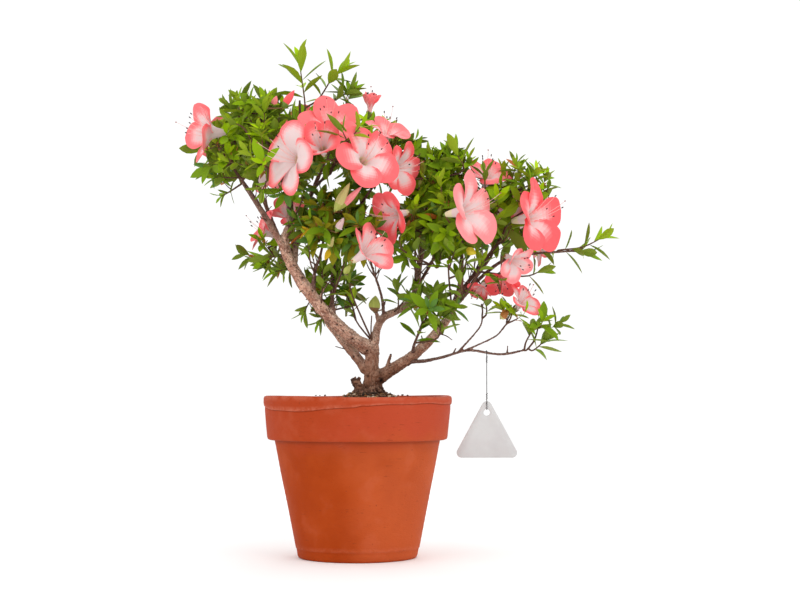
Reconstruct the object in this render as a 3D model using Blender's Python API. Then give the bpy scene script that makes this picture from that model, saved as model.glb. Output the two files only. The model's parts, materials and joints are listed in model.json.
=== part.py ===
"""A satsuki azalea trained as a small leaning tree, in a clay pot, with a blank maker's tag on a wire.

Lengths are millimetres until mesh() turns them into metres. +Z is up, +X is the side that the long low
branch reaches to, and the origin is the centre of the pot's underside. Every limb, and every mass of
twigs, leaves and blossom, is one solid that stays CLEAR of its neighbours.
"""

import math
import random
from collections import namedtuple

import bmesh
import bpy
from mathutils import Matrix, Vector

MM = 0.001
CLEAR = 0.3  # between touching solids
SHARP_ANGLE = math.radians(38)
CURVE_STEPS = 2

# Clay pot, turned round the Z axis
POT_HEIGHT = 162.0
POT_RIM_RADIUS = 95.0
POT_FOOT_RADIUS = 60.5
POT_WALL = 9.0
POT_FLOOR = 11.0
COLLAR_HEIGHT = 44.0  # the thick band below the rim
COLLAR_STEP = 7.4  # how far it stands out from the wall
LIP_HEIGHT = 9.0
DRAIN_RADIUS = 10.0
POT_SIDES = 30

# Soil: level near the rim, rising to a flat mound under the trunk
SOIL_BELOW_RIM = 6.5
MOUND_TOP = 165.3
MOUND_RADIUS = 27.0
SOIL_SIDES = 18

# Trunk
TRUNK_X = 14.0
TRUNK_FOOT_RADIUS = 11.0
TRUNK_RADIUS = 7.4
ROOT_COUNT = 5
ROOT_REACH = 0.42  # how far a surface root stands out, as a share of the foot radius

# Leaves and blossom. A leaf is drawn larger than the living one, because there are fewer of them.
LEAF_LENGTH = 38.0
LEAF_WIDTH = 16.0
LEAVES_IN_WHORL = 5
LEAF_SIZES = (1.0, 0.85, 0.7, 0.58)  # the sizes tried where a full leaf would leave its mass
LEAF_SPREAD = (50, 78)  # degrees between a leaf and the shoot that it stands on
STEM_TIP = 1.6
TWIG_FOOT, TWIG_TIP = 0.7, 1.3  # a twig starts thin, inside the wood that carries it
HUB_RADIUS, HUB_RISE, HUB_DEPTH = 2.3, 1.2, 2.4  # a shoot's end, where its leaves are seated
BARK_SLOT, LEAF_SLOT, PETAL_SLOT = 0, 1, 2
GOLDEN_ANGLE = math.pi * (3 - math.sqrt(5))
FOLIAGE_GAP = 0.8  # from a leaf to the edge of its mass
LIMB_GAP = 1.6  # from a leaf or twig to a limb

# Blank tag on a wire loop
TAG_WIDTH = 60.0
TAG_HEIGHT = 56.0
TAG_CORNER = 5.0
TAG_THICKNESS = 1.2
TAG_HOLE_RADIUS = 3.3
TAG_HOLE_BELOW_TOP = 11.0
WIRE_RADIUS = 0.5
TAG_X = 129.0
WIRE_LENGTH = 56.0  # from the branch to the top edge of the tag's hole

# name, the limb it leaves, the share of that limb's length where it leaves, the points it runs through
# to its tip, its radii spread evenly from foot to tip, and its sides
Limb = namedtuple("Limb", "name parent share via radii sides")
LIMBS = [
    Limb("trunk", None, 0, [(14, 0, 165.6), (14, 1, 187), (15, 2, 216)], (7.4, 6.6), 10),
    Limb("bough_left", "trunk", 0.80,
         [(-17, -4, 230), (-52, -10, 270), (-73, -14, 311), (-68, -12, 337), (-68, -10, 363),
          (-64, -8, 395), (-59, -9, 438)], (7.0, 6.6, 6.2, 5.6, 3.6, 3.1, 2.6, 1.9), 9),
    Limb("bough_middle", "trunk", 0.86,
         [(21, 5, 234), (30, 7, 248), (52, 9, 256), (63, 6, 298), (69, 3, 325), (80, -2, 345)],
         (4.4, 3.9, 3.4, 2.4), 7),
    Limb("bough_right", "trunk", 0.22,
         [(36, -4, 189), (64, -12, 209), (88, -15, 236), (102, -12, 266), (104, -30, 296)],
         (6.6, 5.8, 4.2, 2.4), 8),
    Limb("bough_back_left", "trunk", 0.34,
         [(-14, 22, 213), (-38, 42, 242), (-64, 56, 282), (-86, 60, 330), (-106, 60, 380)], (4.8, 2.0), 7),
    Limb("bough_left_outer", "bough_left", 0.49, [(-90, -22, 337), (-103, -28, 358), (-117, -26, 379)],
         (3.9, 2.0), 6),
    Limb("bough_left_inner", "bough_left", 0.44, [(-61, 1, 326), (-55, 9, 350), (-38, 9, 392), (-19, 3, 434)],
         (3.3, 1.7), 6),
    Limb("bough_left_upper", "bough_left", 0.72, [(-79, -13, 386), (-92, -18, 419)], (2.2, 1.6), 5),
    Limb("bough_left_front", "bough_left", 0.64, [(-70, -22, 358), (-71, -32, 367)], (2.0, 1.6), 5),
    Limb("bough_crown_front", "bough_left_inner", 0.42, [(-44, -6, 372), (-28, -30, 383)], (2.2, 1.6), 5),
    Limb("bough_inner", "bough_left", 0.19, [(-26, -4, 276), (-21, -2, 306), (-5, -6, 342), (17, -14, 375)],
         (2.4, 1.5), 5),
    Limb("bough_inner_left", "bough_left", 0.31, [(-43, -14, 285), (-38, -20, 300)], (2.2, 1.6), 5),
    Limb("bough_low_left", "bough_left", 0.42, [(-78, 0, 303), (-84, 8, 304)], (1.9, 1.5), 5),
    Limb("bough_back_top", "bough_back_left", 0.62, [(-69, 60, 352), (-57, 63, 411)], (2.6, 1.6), 5),
    Limb("bough_back_inner", "bough_back_left", 0.42, [(-36, 55, 300), (-6, 58, 371)], (2.4, 1.6), 5),
    Limb("bough_inner_low", "bough_back_left", 0.26, [(-28, 30, 242), (-29, 29, 248)], (1.9, 1.5), 5),
    Limb("bough_inner_mid", "bough_middle", 0.22, [(22, -4, 262), (14, -22, 290)], (2.0, 1.5), 5),
    Limb("bough_mid_front", "bough_middle", 0.52, [(59, -6, 284), (58, -14, 294)], (2.0, 1.5), 5),
    Limb("bough_back_right", "bough_middle", 0.42, [(62, 26, 276), (78, 46, 304)], (2.4, 1.6), 5),
    Limb("bough_right_upper", "bough_right", 0.76, [(122, -8, 290), (143, -14, 318)], (2.4, 1.6), 5),
    Limb("bough_right_outer", "bough_right", 0.68, [(130, -9, 286), (159, -12, 302), (212, -15, 307)],
         (2.3, 1.2), 5),
    Limb("bough_right_low", "bough_right_outer", 0.16, [(124, -17, 270), (131, -20, 272)], (1.6, 1.3), 5),
    Limb("bough_back_outer", "bough_right", 0.56, [(106, 14, 262), (136, 40, 304)], (2.4, 1.6), 5),
    Limb("bough_front_low", "bough_right", 0.42, [(60, -26, 222), (64, -32, 230)], (1.8, 1.4), 5),
    Limb("branch_low_right", "bough_right", 0.36, [(86, -22, 199), (111, -26, 207), (142, -28, 203),
                                                   (166, -30, 207)], (1.9, 1.1), 6),
    Limb("twig_low_mid", "branch_low_right", 0.46, [(122, -24, 230), (125, -22, 244)], (1.1, 0.95), 5),
    Limb("twig_low_inner", "branch_low_right", 0.50, [(136, -33, 220), (145, -36, 229)], (1.1, 0.95), 5),
]

# name, the bough whose tip it grows from, centre and radius of its ball, and how many sprays it has
Mass = namedtuple("Mass", "name bough centre radius sprays")
MASSES = [
    Mass("far_left", "bough_left_outer", (-137, -15, 409), 42, 10),
    Mass("left_top", "bough_left_upper", (-103, -20, 452), 38, 9),
    Mass("left_front", "bough_left_front", (-72, -56, 392), 42, 10),
    Mass("top", "bough_left", (-59, -10, 476), 41, 10),
    Mass("top_right", "bough_left_inner", (-13, 0, 466), 38, 9),
    Mass("crown_front", "bough_crown_front", (-16, -54, 403), 41, 9),
    Mass("crown_right", "bough_inner", (31, -20, 404), 39, 9),
    Mass("back_left", "bough_back_left", (-116, 58, 421), 48, 10),
    Mass("back_top", "bough_back_top", (-50, 64, 454), 50, 11),
    Mass("back_crown", "bough_back_inner", (9, 60, 410), 48, 10),
    Mass("low_left", "bough_low_left", (-93, 24, 313), 33, 6),
    Mass("inner_left", "bough_inner_left", (-30, -25, 332), 39, 8),
    Mass("inner_mid", "bough_inner_mid", (10, -38, 318), 35, 7),
    Mass("inner_low", "bough_inner_low", (-26, 24, 270), 32, 7),
    Mass("right_top", "bough_middle", (93, -8, 380), 42, 10),
    Mass("right_front", "bough_right", (104, -50, 330), 40, 9),
    Mass("right_mid", "bough_mid_front", (58, -34, 322), 35, 7),
    Mass("right_outer", "bough_right_upper", (158, -18, 354), 45, 11),
    Mass("right_tip", "bough_right_outer", (236, -15, 312), 30, 6),
    Mass("right_low", "bough_right_low", (152, -28, 280), 32, 7),
    Mass("low_right", "branch_low_right", (184, -30, 224), 30, 7),
    Mass("low_mid", "twig_low_inner", (153, -38, 238), 21, 3),
    Mass("under_right", "twig_low_mid", (124, -20, 260), 21, 3),
    Mass("front_low", "bough_front_low", (72, -44, 245), 33, 8),
    Mass("back_right", "bough_back_right", (84, 54, 346), 48, 10),
    Mass("back_outer", "bough_back_outer", (154, 50, 342), 46, 10),
]

# The crown's outermost leaf tips, by mass
REACH = {
    "top": [(-60, -10, 512)],
    "left_top": [(-143, -28, 460)],
    "top_right": [(-29, -4, 499), (2, -8, 486)],
    "far_left": [(-168, -28, 376)],
    "right_tip": [(260, -15, 326)],
    "right_outer": [(184, -12, 398)],
    "low_right": [(208, -30, 212)],
    "low_left": [(-103, 16, 277)],
    "inner_low": [(-56, 36, 250)],
}

# The mass it belongs to, the middle of its mouth, the way it faces, and its width when open
Blossom = namedtuple("Blossom", "mass mouth facing width")
BLOSSOMS = [
    Blossom("far_left", (-156, -25, 432), (-0.92, -0.35, 0.05), 62),
    Blossom("left_front", (-60, -92, 388), (-0.5, -0.85, 0.0), 68),
    Blossom("crown_front", (-28, -62, 420), (-0.3, -0.55, 0.75), 46),
    Blossom("crown_front", (4, -90, 387), (0.15, -0.97, 0.15), 64),
    Blossom("top_right", (12, -10, 456), (0.45, -0.3, 0.8), 40),
    Blossom("crown_right", (42, -30, 424), (0.6, 0.0, 0.8), 54),
    Blossom("crown_right", (50, -50, 386), (0.85, -0.5, 0.0), 54),
    Blossom("inner_mid", (14, -76, 297), (0.3, -0.9, -0.1), 58),
    Blossom("right_mid", (38, -60, 350), (-0.5, -0.3, 0.8), 48),
    Blossom("right_front", (112, -88, 334), (0.72, -0.66, -0.05), 72),
    Blossom("right_outer", (178, -50, 338), (0.8, -0.6, 0.0), 68),
    Blossom("right_top", (124, 0, 392), (0.3, 0.1, 0.95), 52),
    Blossom("right_low", (160, -44, 273), (0.6, -0.6, -0.5), 44),
    Blossom("low_mid", (167, -32, 246), (0.9, -0.1, 0.1), 32),
    Blossom("low_left", (-104, 34, 332), (-0.8, 0.4, 0.3), 46),
    Blossom("back_left", (-148, 92, 434), (-0.5, 0.85, 0.1), 60),
    Blossom("back_left", (-100, 98, 396), (0.1, 0.95, -0.3), 54),
    Blossom("back_top", (-58, 106, 468), (0.0, 0.9, 0.4), 62),
    Blossom("back_crown", (16, 102, 416), (0.2, 0.95, 0.1), 60),
    Blossom("back_right", (80, 98, 354), (0.0, 1.0, 0.1), 62),
    Blossom("back_outer", (172, 88, 352), (0.5, 0.85, 0.1), 58),
    Blossom("back_outer", (190, 50, 318), (0.9, 0.3, -0.2), 46),
]

LEAF_GREEN = (0.13, 0.26, 0.03)
PINK = (0.86, 0.22, 0.24)
BARK = (0.25, 0.13, 0.085)


def clear_scene():
    for obj in list(bpy.data.objects):
        bpy.data.objects.remove(obj)


def material(name, colour, roughness, metallic=0.0):
    """A Principled material, made once and then shared."""
    found = bpy.data.materials.get(name)
    if found:
        return found
    made = bpy.data.materials.new(name)
    made.use_nodes = True
    shader = made.node_tree.nodes["Principled BSDF"]
    shader.inputs["Base Color"].default_value = (*colour, 1.0)
    shader.inputs["Roughness"].default_value = roughness
    shader.inputs["Metallic"].default_value = metallic
    return made


def mesh(name, verts, faces, finishes, slots=None):
    """An object from points in millimetres, its faces turned to point outwards and given their slots."""
    data = bpy.data.meshes.new(name)
    data.from_pydata([tuple(Vector(v) * MM) for v in verts], [], faces)
    for finish in finishes if isinstance(finishes, list) else [finishes]:
        data.materials.append(finish)
    if slots:
        data.polygons.foreach_set("material_index", slots)
    work = bmesh.new()
    work.from_mesh(data)
    bmesh.ops.recalc_face_normals(work, faces=work.faces)
    work.to_mesh(data)
    work.free()
    data.shade_smooth()
    data.set_sharp_from_angle(angle=SHARP_ANGLE)
    obj = bpy.data.objects.new(name, data)
    bpy.context.scene.collection.objects.link(obj)
    return obj


def ring_faces(rings, sides):
    """Quads between rings of points that follow each other, with a cap on both ends."""
    faces = []
    for ring in range(rings - 1):
        low, high = ring * sides, (ring + 1) * sides
        for side in range(sides):
            after = (side + 1) % sides
            faces.append((low + side, low + after, high + after, high + side))
    faces.append(tuple(range(sides))[::-1])
    faces.append(tuple(range((rings - 1) * sides, rings * sides)))
    return faces


def smooth_path(points):
    """Points along a Catmull-Rom curve, with CURVE_STEPS of them for each stretch between two given points."""
    points = [Vector(p) for p in points]
    ends = [2 * points[0] - points[1], *points, 2 * points[-1] - points[-2]]
    path = []
    for before, start, stop, after in zip(ends, ends[1:], ends[2:], ends[3:]):
        for step in range(CURVE_STEPS):
            t = step / CURVE_STEPS
            path.append(0.5 * (2 * start + (stop - before) * t
                               + (2 * before - 5 * start + 4 * stop - after) * t * t
                               + (3 * start - 3 * stop + after - before) * t ** 3))
    path.append(points[-1])
    return path


def point_at(path, share):
    """The point that lies this share of the way along a path."""
    left = share * sum((b - a).length for a, b in zip(path, path[1:]))
    for a, b in zip(path, path[1:]):
        length = (b - a).length
        if left <= length:
            return a.lerp(b, left / length)
        left -= length
    return path[-1].copy()


def tube_points(path, radii, sides):
    """Rings of points round a path, square to it, carried along without twisting."""
    verts = []
    across = None
    for i, centre in enumerate(path):
        ahead = (path[min(i + 1, len(path) - 1)] - path[max(i - 1, 0)]).normalized()
        if across is None:
            across = ahead.orthogonal().normalized()
        across = (across - ahead * across.dot(ahead)).normalized()
        other = ahead.cross(across)
        for side in range(sides):
            angle = math.tau * side / sides
            verts.append(centre + (across * math.cos(angle) + other * math.sin(angle)) * radii[i])
    return verts


def tube(name, path, radii, sides, finish):
    return mesh(name, tube_points(path, radii, sides), ring_faces(len(path), sides), finish)


def lathe(name, profile, sides, finish):
    """A ring-shaped solid turned round Z from a closed outline of (radius, height) points."""
    verts = [
        (radius * math.cos(math.tau * side / sides), radius * math.sin(math.tau * side / sides), height)
        for side in range(sides) for radius, height in profile
    ]
    count = len(profile)
    faces = []
    for side in range(sides):
        here, there = side * count, (side + 1) % sides * count
        for i in range(count):
            after = (i + 1) % count
            faces.append((here + i, there + i, there + after, here + after))
    return mesh(name, verts, faces, finish)


def keep_main_body(obj):
    """Drops every island of the mesh but the largest: loose scraps and sealed hollows."""
    work = bmesh.new()
    work.from_mesh(obj.data)
    unseen = set(work.verts)
    islands = []
    while unseen:
        todo = [unseen.pop()]
        island = list(todo)
        while todo:
            for edge in todo.pop().link_edges:
                for vert in edge.verts:
                    if vert in unseen:
                        unseen.remove(vert)
                        todo.append(vert)
                        island.append(vert)
        islands.append(island)
    islands.sort(key=len)
    scraps = [vert for island in islands[:-1] for vert in island]
    bmesh.ops.delete(work, geom=scraps, context="VERTS")
    bmesh.ops.triangulate(work, faces=work.faces)
    work.to_mesh(obj.data)
    work.free()


def combine(obj, others, operation, solver):
    """Joins or cuts obj with the others in one Boolean that is applied, and removes the others."""
    group = bpy.data.collections.new("boolean")
    bpy.context.scene.collection.children.link(group)
    for other in others:
        group.objects.link(other)
        other.hide_render = True
        other.display_type = "WIRE"
    boolean = obj.modifiers.new("boolean", "BOOLEAN")
    boolean.operation = operation
    boolean.operand_type = "COLLECTION"
    boolean.collection = group
    boolean.solver = solver
    graph = bpy.context.evaluated_depsgraph_get()
    made = bpy.data.meshes.new_from_object(obj.evaluated_get(graph))
    obj.modifiers.remove(boolean)
    obj.data = made
    for other in others:
        bpy.data.objects.remove(other)
    bpy.data.collections.remove(group)
    keep_main_body(obj)


def make_pot():
    """A clay flowerpot: tapered wall, thick collar, rounded lip and a drain hole in its floor."""
    collar_foot = POT_HEIGHT - COLLAR_HEIGHT
    wall_top = POT_RIM_RADIUS - 4.0 - COLLAR_STEP
    inner_top = POT_RIM_RADIUS - POT_WALL - 1.0
    profile = [
        (DRAIN_RADIUS, 0), (POT_FOOT_RADIUS - 2.5, 0), (POT_FOOT_RADIUS, 2.5),
        (wall_top, collar_foot + 1.5), (wall_top + COLLAR_STEP - 1.2, collar_foot),
        (wall_top + COLLAR_STEP, collar_foot + 2.5), (POT_RIM_RADIUS - 1.0, POT_HEIGHT - LIP_HEIGHT - 1),
        (POT_RIM_RADIUS, POT_HEIGHT - LIP_HEIGHT + 1), (POT_RIM_RADIUS, POT_HEIGHT - 2.2),
        (POT_RIM_RADIUS - 2.2, POT_HEIGHT), (inner_top + 2, POT_HEIGHT), (inner_top, POT_HEIGHT - 2.5),
        (inner_top - 2.5, collar_foot), (POT_FOOT_RADIUS - POT_WALL + 1, POT_FLOOR), (DRAIN_RADIUS, POT_FLOOR),
    ]
    return lathe("pot", profile, POT_SIDES, material("clay", (0.52, 0.15, 0.06), 0.75))


def make_soil():
    """Soil that fills the pot and its drain hole, and rises to a flat mound under the trunk."""
    inner_top = POT_RIM_RADIUS - POT_WALL - 1.0
    collar_foot = POT_HEIGHT - COLLAR_HEIGHT
    # centre x, radius, height. A facet's middle lies nearer the axis than its corners, so the gap is wider.
    gap = CLEAR + 0.9
    level = POT_HEIGHT - SOIL_BELOW_RIM
    rings = [
        (0, DRAIN_RADIUS - CLEAR - 0.3, 0), (0, DRAIN_RADIUS - CLEAR - 0.3, POT_FLOOR + CLEAR),
        (0, POT_FOOT_RADIUS - POT_WALL - gap + 1, POT_FLOOR + CLEAR),
        (0, inner_top - 2.5 - gap, collar_foot), (0, inner_top - gap - 0.4, level - 1.5),
        (TRUNK_X * 0.35, inner_top - 18, level + 1.0), (TRUNK_X * 0.8, MOUND_RADIUS + 9, MOUND_TOP - 1.8),
        (TRUNK_X, MOUND_RADIUS, MOUND_TOP),
    ]
    turns = [math.tau * side / SOIL_SIDES for side in range(SOIL_SIDES)]
    verts = [(x + radius * math.cos(turn), radius * math.sin(turn), z) for x, radius, z in rings for turn in turns]
    earth = material("soil", (0.07, 0.04, 0.025), 0.95)
    return mesh("soil", verts, ring_faces(len(rings), SOIL_SIDES), earth)


def limb_paths():
    """Every limb's axis, from inside its parent to its tip, by name."""
    paths = {}
    for limb in LIMBS:
        start = [] if limb.parent is None else [point_at(paths[limb.parent], limb.share)]
        paths[limb.name] = smooth_path([*start, *limb.via])
    return paths


def limb_radii(limb, count):
    """The radius at each of the points of a limb's axis, tapering from foot to tip."""
    radii = []
    for i in range(count):
        spot = i / (count - 1) * (len(limb.radii) - 1)
        low = min(int(spot), len(limb.radii) - 2)
        radii.append(limb.radii[low] + (limb.radii[low + 1] - limb.radii[low]) * (spot - low))
    if limb.parent is not None:
        radii[0] *= 0.72  # rounded off inside the parent
    return radii


def limb_mesh(limb, path, swell=0.0):
    """A limb, or with swell the space that a later one keeps out of."""
    radii = [radius + swell for radius in limb_radii(limb, len(path))]
    ahead = (path[-1] - path[-2]).normalized()
    path = [*path[:-1], path[-1] + ahead * swell]
    return tube(limb.name, path, radii, limb.sides, material("bark", BARK, 0.85))


def trunk_mesh(path, swell=0.0):
    """The trunk: a flat foot that flares into surface roots, then a gentle taper to a domed fork."""
    sides = LIMBS[0].sides
    heights = [(0.0, TRUNK_FOOT_RADIUS, 1.0), (0.06, TRUNK_FOOT_RADIUS * 0.9, 0.75), (0.14, 9.0, 0.4),
               (0.26, TRUNK_RADIUS + 0.7, 0.15), (0.5, TRUNK_RADIUS, 0.0), (0.75, TRUNK_RADIUS - 0.2, 0.0),
               (0.93, TRUNK_RADIUS - 0.7, 0.0), (1.0, TRUNK_RADIUS * 0.55, 0.0)]
    verts = []
    for share, radius, flare in heights:
        centre = point_at(path, share)
        for side in range(sides):
            angle = math.tau * side / sides
            root = 1 + ROOT_REACH * flare * math.cos(ROOT_COUNT * angle + 0.9)
            reach = radius * root + swell
            verts.append(centre + Vector((math.cos(angle), math.sin(angle), 0)) * reach)
    for vert in verts[:sides]:
        vert.z -= swell
    for vert in verts[-sides:]:
        vert.z += swell
    return mesh("trunk", verts, ring_faces(len(heights), sides), material("bark", BARK, 0.85))


def old_stump(swell=0.0):
    """The dead stub of a first stem, beside the trunk's foot."""
    foot = LIMBS[0].via[0][2] - swell
    path = [Vector((4, -4, foot)), Vector((-1, -5, foot + 9)), Vector((-4, -5, foot + 19))]
    radii = [8.5 + swell, 5.0 + swell, 4.0 + swell]
    stump = tube("stump", path, radii, 7, material("bark", BARK, 0.85))
    for vert in stump.data.vertices[:7]:
        vert.co.z = foot * MM
    return stump


def make_limbs(paths):
    """Each limb as its own solid. A later limb gives way to those it leaves or passes close to."""
    done = []
    for limb in LIMBS:
        path = paths[limb.name]
        if limb.parent is None:
            combine(trunk_mesh(path), [old_stump()], "UNION", "EXACT")
            done.append(limb)
            continue
        obj = limb_mesh(limb, path)
        for other in done:
            other_path = paths[other.name]
            reach = limb.radii[0] + other.radii[0] + 2
            if min(axis_distance(point, other_path) for point in path) > reach:
                continue
            if other.parent is None:
                cutters = [trunk_mesh(other_path, CLEAR), old_stump(CLEAR)]
            else:
                cutters = [limb_mesh(other, other_path, CLEAR)]
            for cutter in cutters:
                combine(obj, [cutter], "DIFFERENCE", "EXACT")
        done.append(limb)


def axis_distance(point, path):
    """How far a point is from a path."""
    return min(segment_distance(point, a, b) for a, b in zip(path, path[1:]))


def segment_distance(point, a, b):
    along = b - a
    share = max(0.0, min(1.0, (point - a).dot(along) / along.length_squared))
    return (point - a - along * share).length


class Space:
    """What a mass may fill: its ball, on its own side of its neighbours, clear of limbs and blossom."""

    def __init__(self, mass, paths):
        self.mass = mass
        self.centre = Vector(mass.centre)
        self.neighbours = [
            (Vector(m.centre), m.radius) for m in MASSES
            if m is not mass and (Vector(m.centre) - self.centre).length < m.radius + mass.radius + 4
        ]
        self.segments = []
        for limb in LIMBS:
            path = paths[limb.name]
            for a, b, radius in zip(path, path[1:], limb_radii(limb, len(path))):
                if segment_distance(self.centre, a, b) < mass.radius + radius + LIMB_GAP:
                    self.segments.append((a, b, radius))
        self.corollas = [b for b in BLOSSOMS
                         if (Vector(b.mouth) - self.centre).length < mass.radius + b.width]
        self.leaves = []  # what has grown: two ends and a half width

    def holds(self, point, gap=FOLIAGE_GAP):
        """Whether a point is in the ball and on this mass's side of each plane between two balls."""
        own = (point - self.centre).length_squared - self.mass.radius ** 2
        if own > -2 * gap * self.mass.radius:
            return False
        for centre, radius in self.neighbours:
            other = (point - centre).length_squared - radius ** 2
            if other - own < 2 * gap * (centre - self.centre).length:
                return False
        return True

    def misses_limbs(self, point, gap=LIMB_GAP):
        return all(segment_distance(point, a, b) > r + gap for a, b, r in self.segments)

    def misses_blossom(self, point, but=None):
        return not any(in_corolla(b, point, 1.2) for b in self.corollas if b is not but)

    def clear_of_leaves(self, spine, width):
        return all(segment_distance(p, a, b) > half + width * 0.2 for a, b, half in self.leaves for p in spine)

    def free(self, point):
        return self.holds(point) and self.misses_limbs(point) and self.misses_blossom(point)


def in_corolla(blossom, point, gap):
    """Whether a point is inside the cone that a blossom's funnel fills."""
    facing = Vector(blossom.facing).normalized()
    depth = blossom.width * 0.38
    ahead = (point - Vector(blossom.mouth)).dot(facing)
    if not -depth - gap < ahead < 4 + gap:
        return False
    aside = (point - Vector(blossom.mouth) - facing * ahead).length
    return aside < blossom.width * (0.06 + 0.46 * max(0.0, ahead + depth) / depth) + gap


def whorl(space, tip, heading, aim, rng):
    """Leaves round a shoot's tip, as (left, tip, right) points or None where one has no room.

    The second value is the way that the first leaf points.
    """
    across = heading.orthogonal().normalized()
    if aim:
        across = (aim - tip - heading * (aim - tip).dot(heading)).normalized()
    across = Matrix.Rotation(0 if aim else rng.uniform(0, math.tau), 3, heading) @ across
    places, grown = [], []
    for k in range(LEAVES_IN_WHORL):
        spread = math.radians(rng.uniform(*LEAF_SPREAD))
        outward = Matrix.Rotation(math.tau * k / LEAVES_IN_WHORL, 3, heading) @ across
        along = heading * math.cos(spread) + outward * math.sin(spread)
        longest = min(LEAF_LENGTH, space.mass.radius) * rng.uniform(0.88, 1.0)
        if aim and k == 0:
            along, longest = (aim - tip).normalized(), (aim - tip).length
        side = heading.cross(along).normalized()
        place = None
        for size in LEAF_SIZES:
            length = longest * size
            wide = tip + along * length * 0.52
            half = side * LEAF_WIDTH * length / LEAF_LENGTH / 2
            end = tip + along * length
            edges = [end, wide + half, wide - half, end.lerp(wide + half, 0.5), end.lerp(wide - half, 0.5)]
            spine = [tip.lerp(end, share) for share in (0.3, 0.5, 0.7, 0.95)]
            if all(space.free(p) for p in edges) and space.clear_of_leaves(spine, half.length * 2):
                place = (wide - half, end, wide + half)
                grown.append((tip, end, half.length * 0.7))
                break
        places.append(place)
    space.leaves += grown
    return places, across


def shoot(start, tip, heading, places, outward, finishes):
    """A three-sided twig that ends in a whorl, closed as one solid: leaves are thin wedges round its end."""
    count = len(places)
    third = 3 / count
    ring = []
    for k in range(3):
        leaves = [leaf for leaf in range(count) if int(leaf * third) == k]
        turn = math.tau * (sum(leaves) / len(leaves)) / count
        ring.append(Matrix.Rotation(turn, 3, heading) @ outward)
    verts = [start + r * TWIG_FOOT for r in ring]
    verts += [tip - heading * HUB_DEPTH + r * TWIG_TIP for r in ring]
    verts.append(tip + heading * HUB_RISE)
    faces = [(0, 2, 1), (0, 1, 4, 3), (1, 2, 5, 4), (2, 0, 3, 5)]
    slots = [BARK_SLOT] * 4
    rim = []
    for k, place in enumerate(places):
        valley = Matrix.Rotation(math.tau * (k - 0.5) / count, 3, heading) @ outward
        spots = [tip + valley * HUB_RADIUS, *(place or ())]
        for spot in spots:
            rim.append((len(verts), 3 + int(k * third)))
            verts.append(spot)
    for (here, under), (after, next_under) in zip(rim, rim[1:] + rim[:1]):
        faces += [(6, here, after), (under, after, here)]
        slots += [LEAF_SLOT] * 2
        if next_under != under:
            faces.append((under, next_under, after))
            slots.append(LEAF_SLOT)
    return mesh("shoot", verts, faces, finishes, slots)


def corolla(blossom, start, finishes):
    """A funnel with five rounded lobes on its stalk, closed by an inner face that follows the outer one."""
    facing = Vector(blossom.facing).normalized()
    across = facing.cross(Vector((0, 0, 1)))
    across = across.normalized() if across.length > 0.1 else Vector((1, 0, 0))
    other = facing.cross(across)
    size = blossom.width
    root = Vector(blossom.mouth) - facing * size * 0.38

    def place(degrees, radius, height):
        angle = math.radians(degrees + 18)
        return (root + (across * math.cos(angle) + other * math.sin(angle)) * radius * size
                + facing * height * size)

    stalk = [place(72 * lobe, 0, 0) + (place(72 * lobe, 0.03, 0) - root) for lobe in range(5)]
    verts = [place(0, 0, 0.17)]
    verts += [start + (p - root).normalized() * TWIG_FOOT for p in stalk]
    verts += stalk
    for radius, height in ((0.075, 0.10), (0.075, 0.21)):
        verts += [place(72 * lobe, radius, height) for lobe in range(5)]
    rim = ((-36, 0.23, 0.30), (-21, 0.43, 0.38), (0, 0.50, 0.38), (21, 0.43, 0.38))
    for lobe in range(5):
        verts += [place(72 * lobe + degrees, radius, height) for degrees, radius, height in rim]
    faces, slots = [(1, 2, 3, 4, 5)], [BARK_SLOT]
    for lobe in range(5):
        after = (lobe + 1) % 5
        edge = [21 + 4 * lobe + i for i in range(4)] + [21 + 4 * after]
        faces += [(1 + lobe, 1 + after, 6 + after, 6 + lobe), (6 + lobe, 6 + after, 11 + after, 11 + lobe)]
        faces.append((0, 16 + lobe, 16 + after))
        slots += [BARK_SLOT, PETAL_SLOT, PETAL_SLOT]
        for ring in (11, 16):
            faces += [(ring + lobe, edge[i], edge[i + 1]) for i in range(4)]
            faces.append((ring + lobe, edge[4], ring + after))
            slots += [PETAL_SLOT] * 5
    return mesh("blossom", verts, faces, finishes, slots)


def shoot_tips(mass, space, hub, rng, seed):
    """Where a mass's shoots end, with the crown's outermost leaf tip where one of their leaves reaches it."""
    tips = []
    for aim in map(Vector, REACH.get(mass.name, ())):
        length = min(0.95 * LEAF_LENGTH, (aim - hub).length - 9)
        tips.append((aim + (hub - aim).normalized() * length, aim))
    inner = max(0.45 * mass.radius, mass.radius - 0.62 * LEAF_LENGTH)
    for k in range(mass.sprays - len(tips)):
        rise = 1 - 2 * (k + 0.5) / mass.sprays
        flat = math.sqrt(1 - rise * rise)
        angle = k * GOLDEN_ANGLE + seed
        out = Vector((flat * math.cos(angle), flat * math.sin(angle), rise))
        tips.append((space.centre + out * inner * rng.uniform(0.8, 1.0), None))
    return tips


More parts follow.
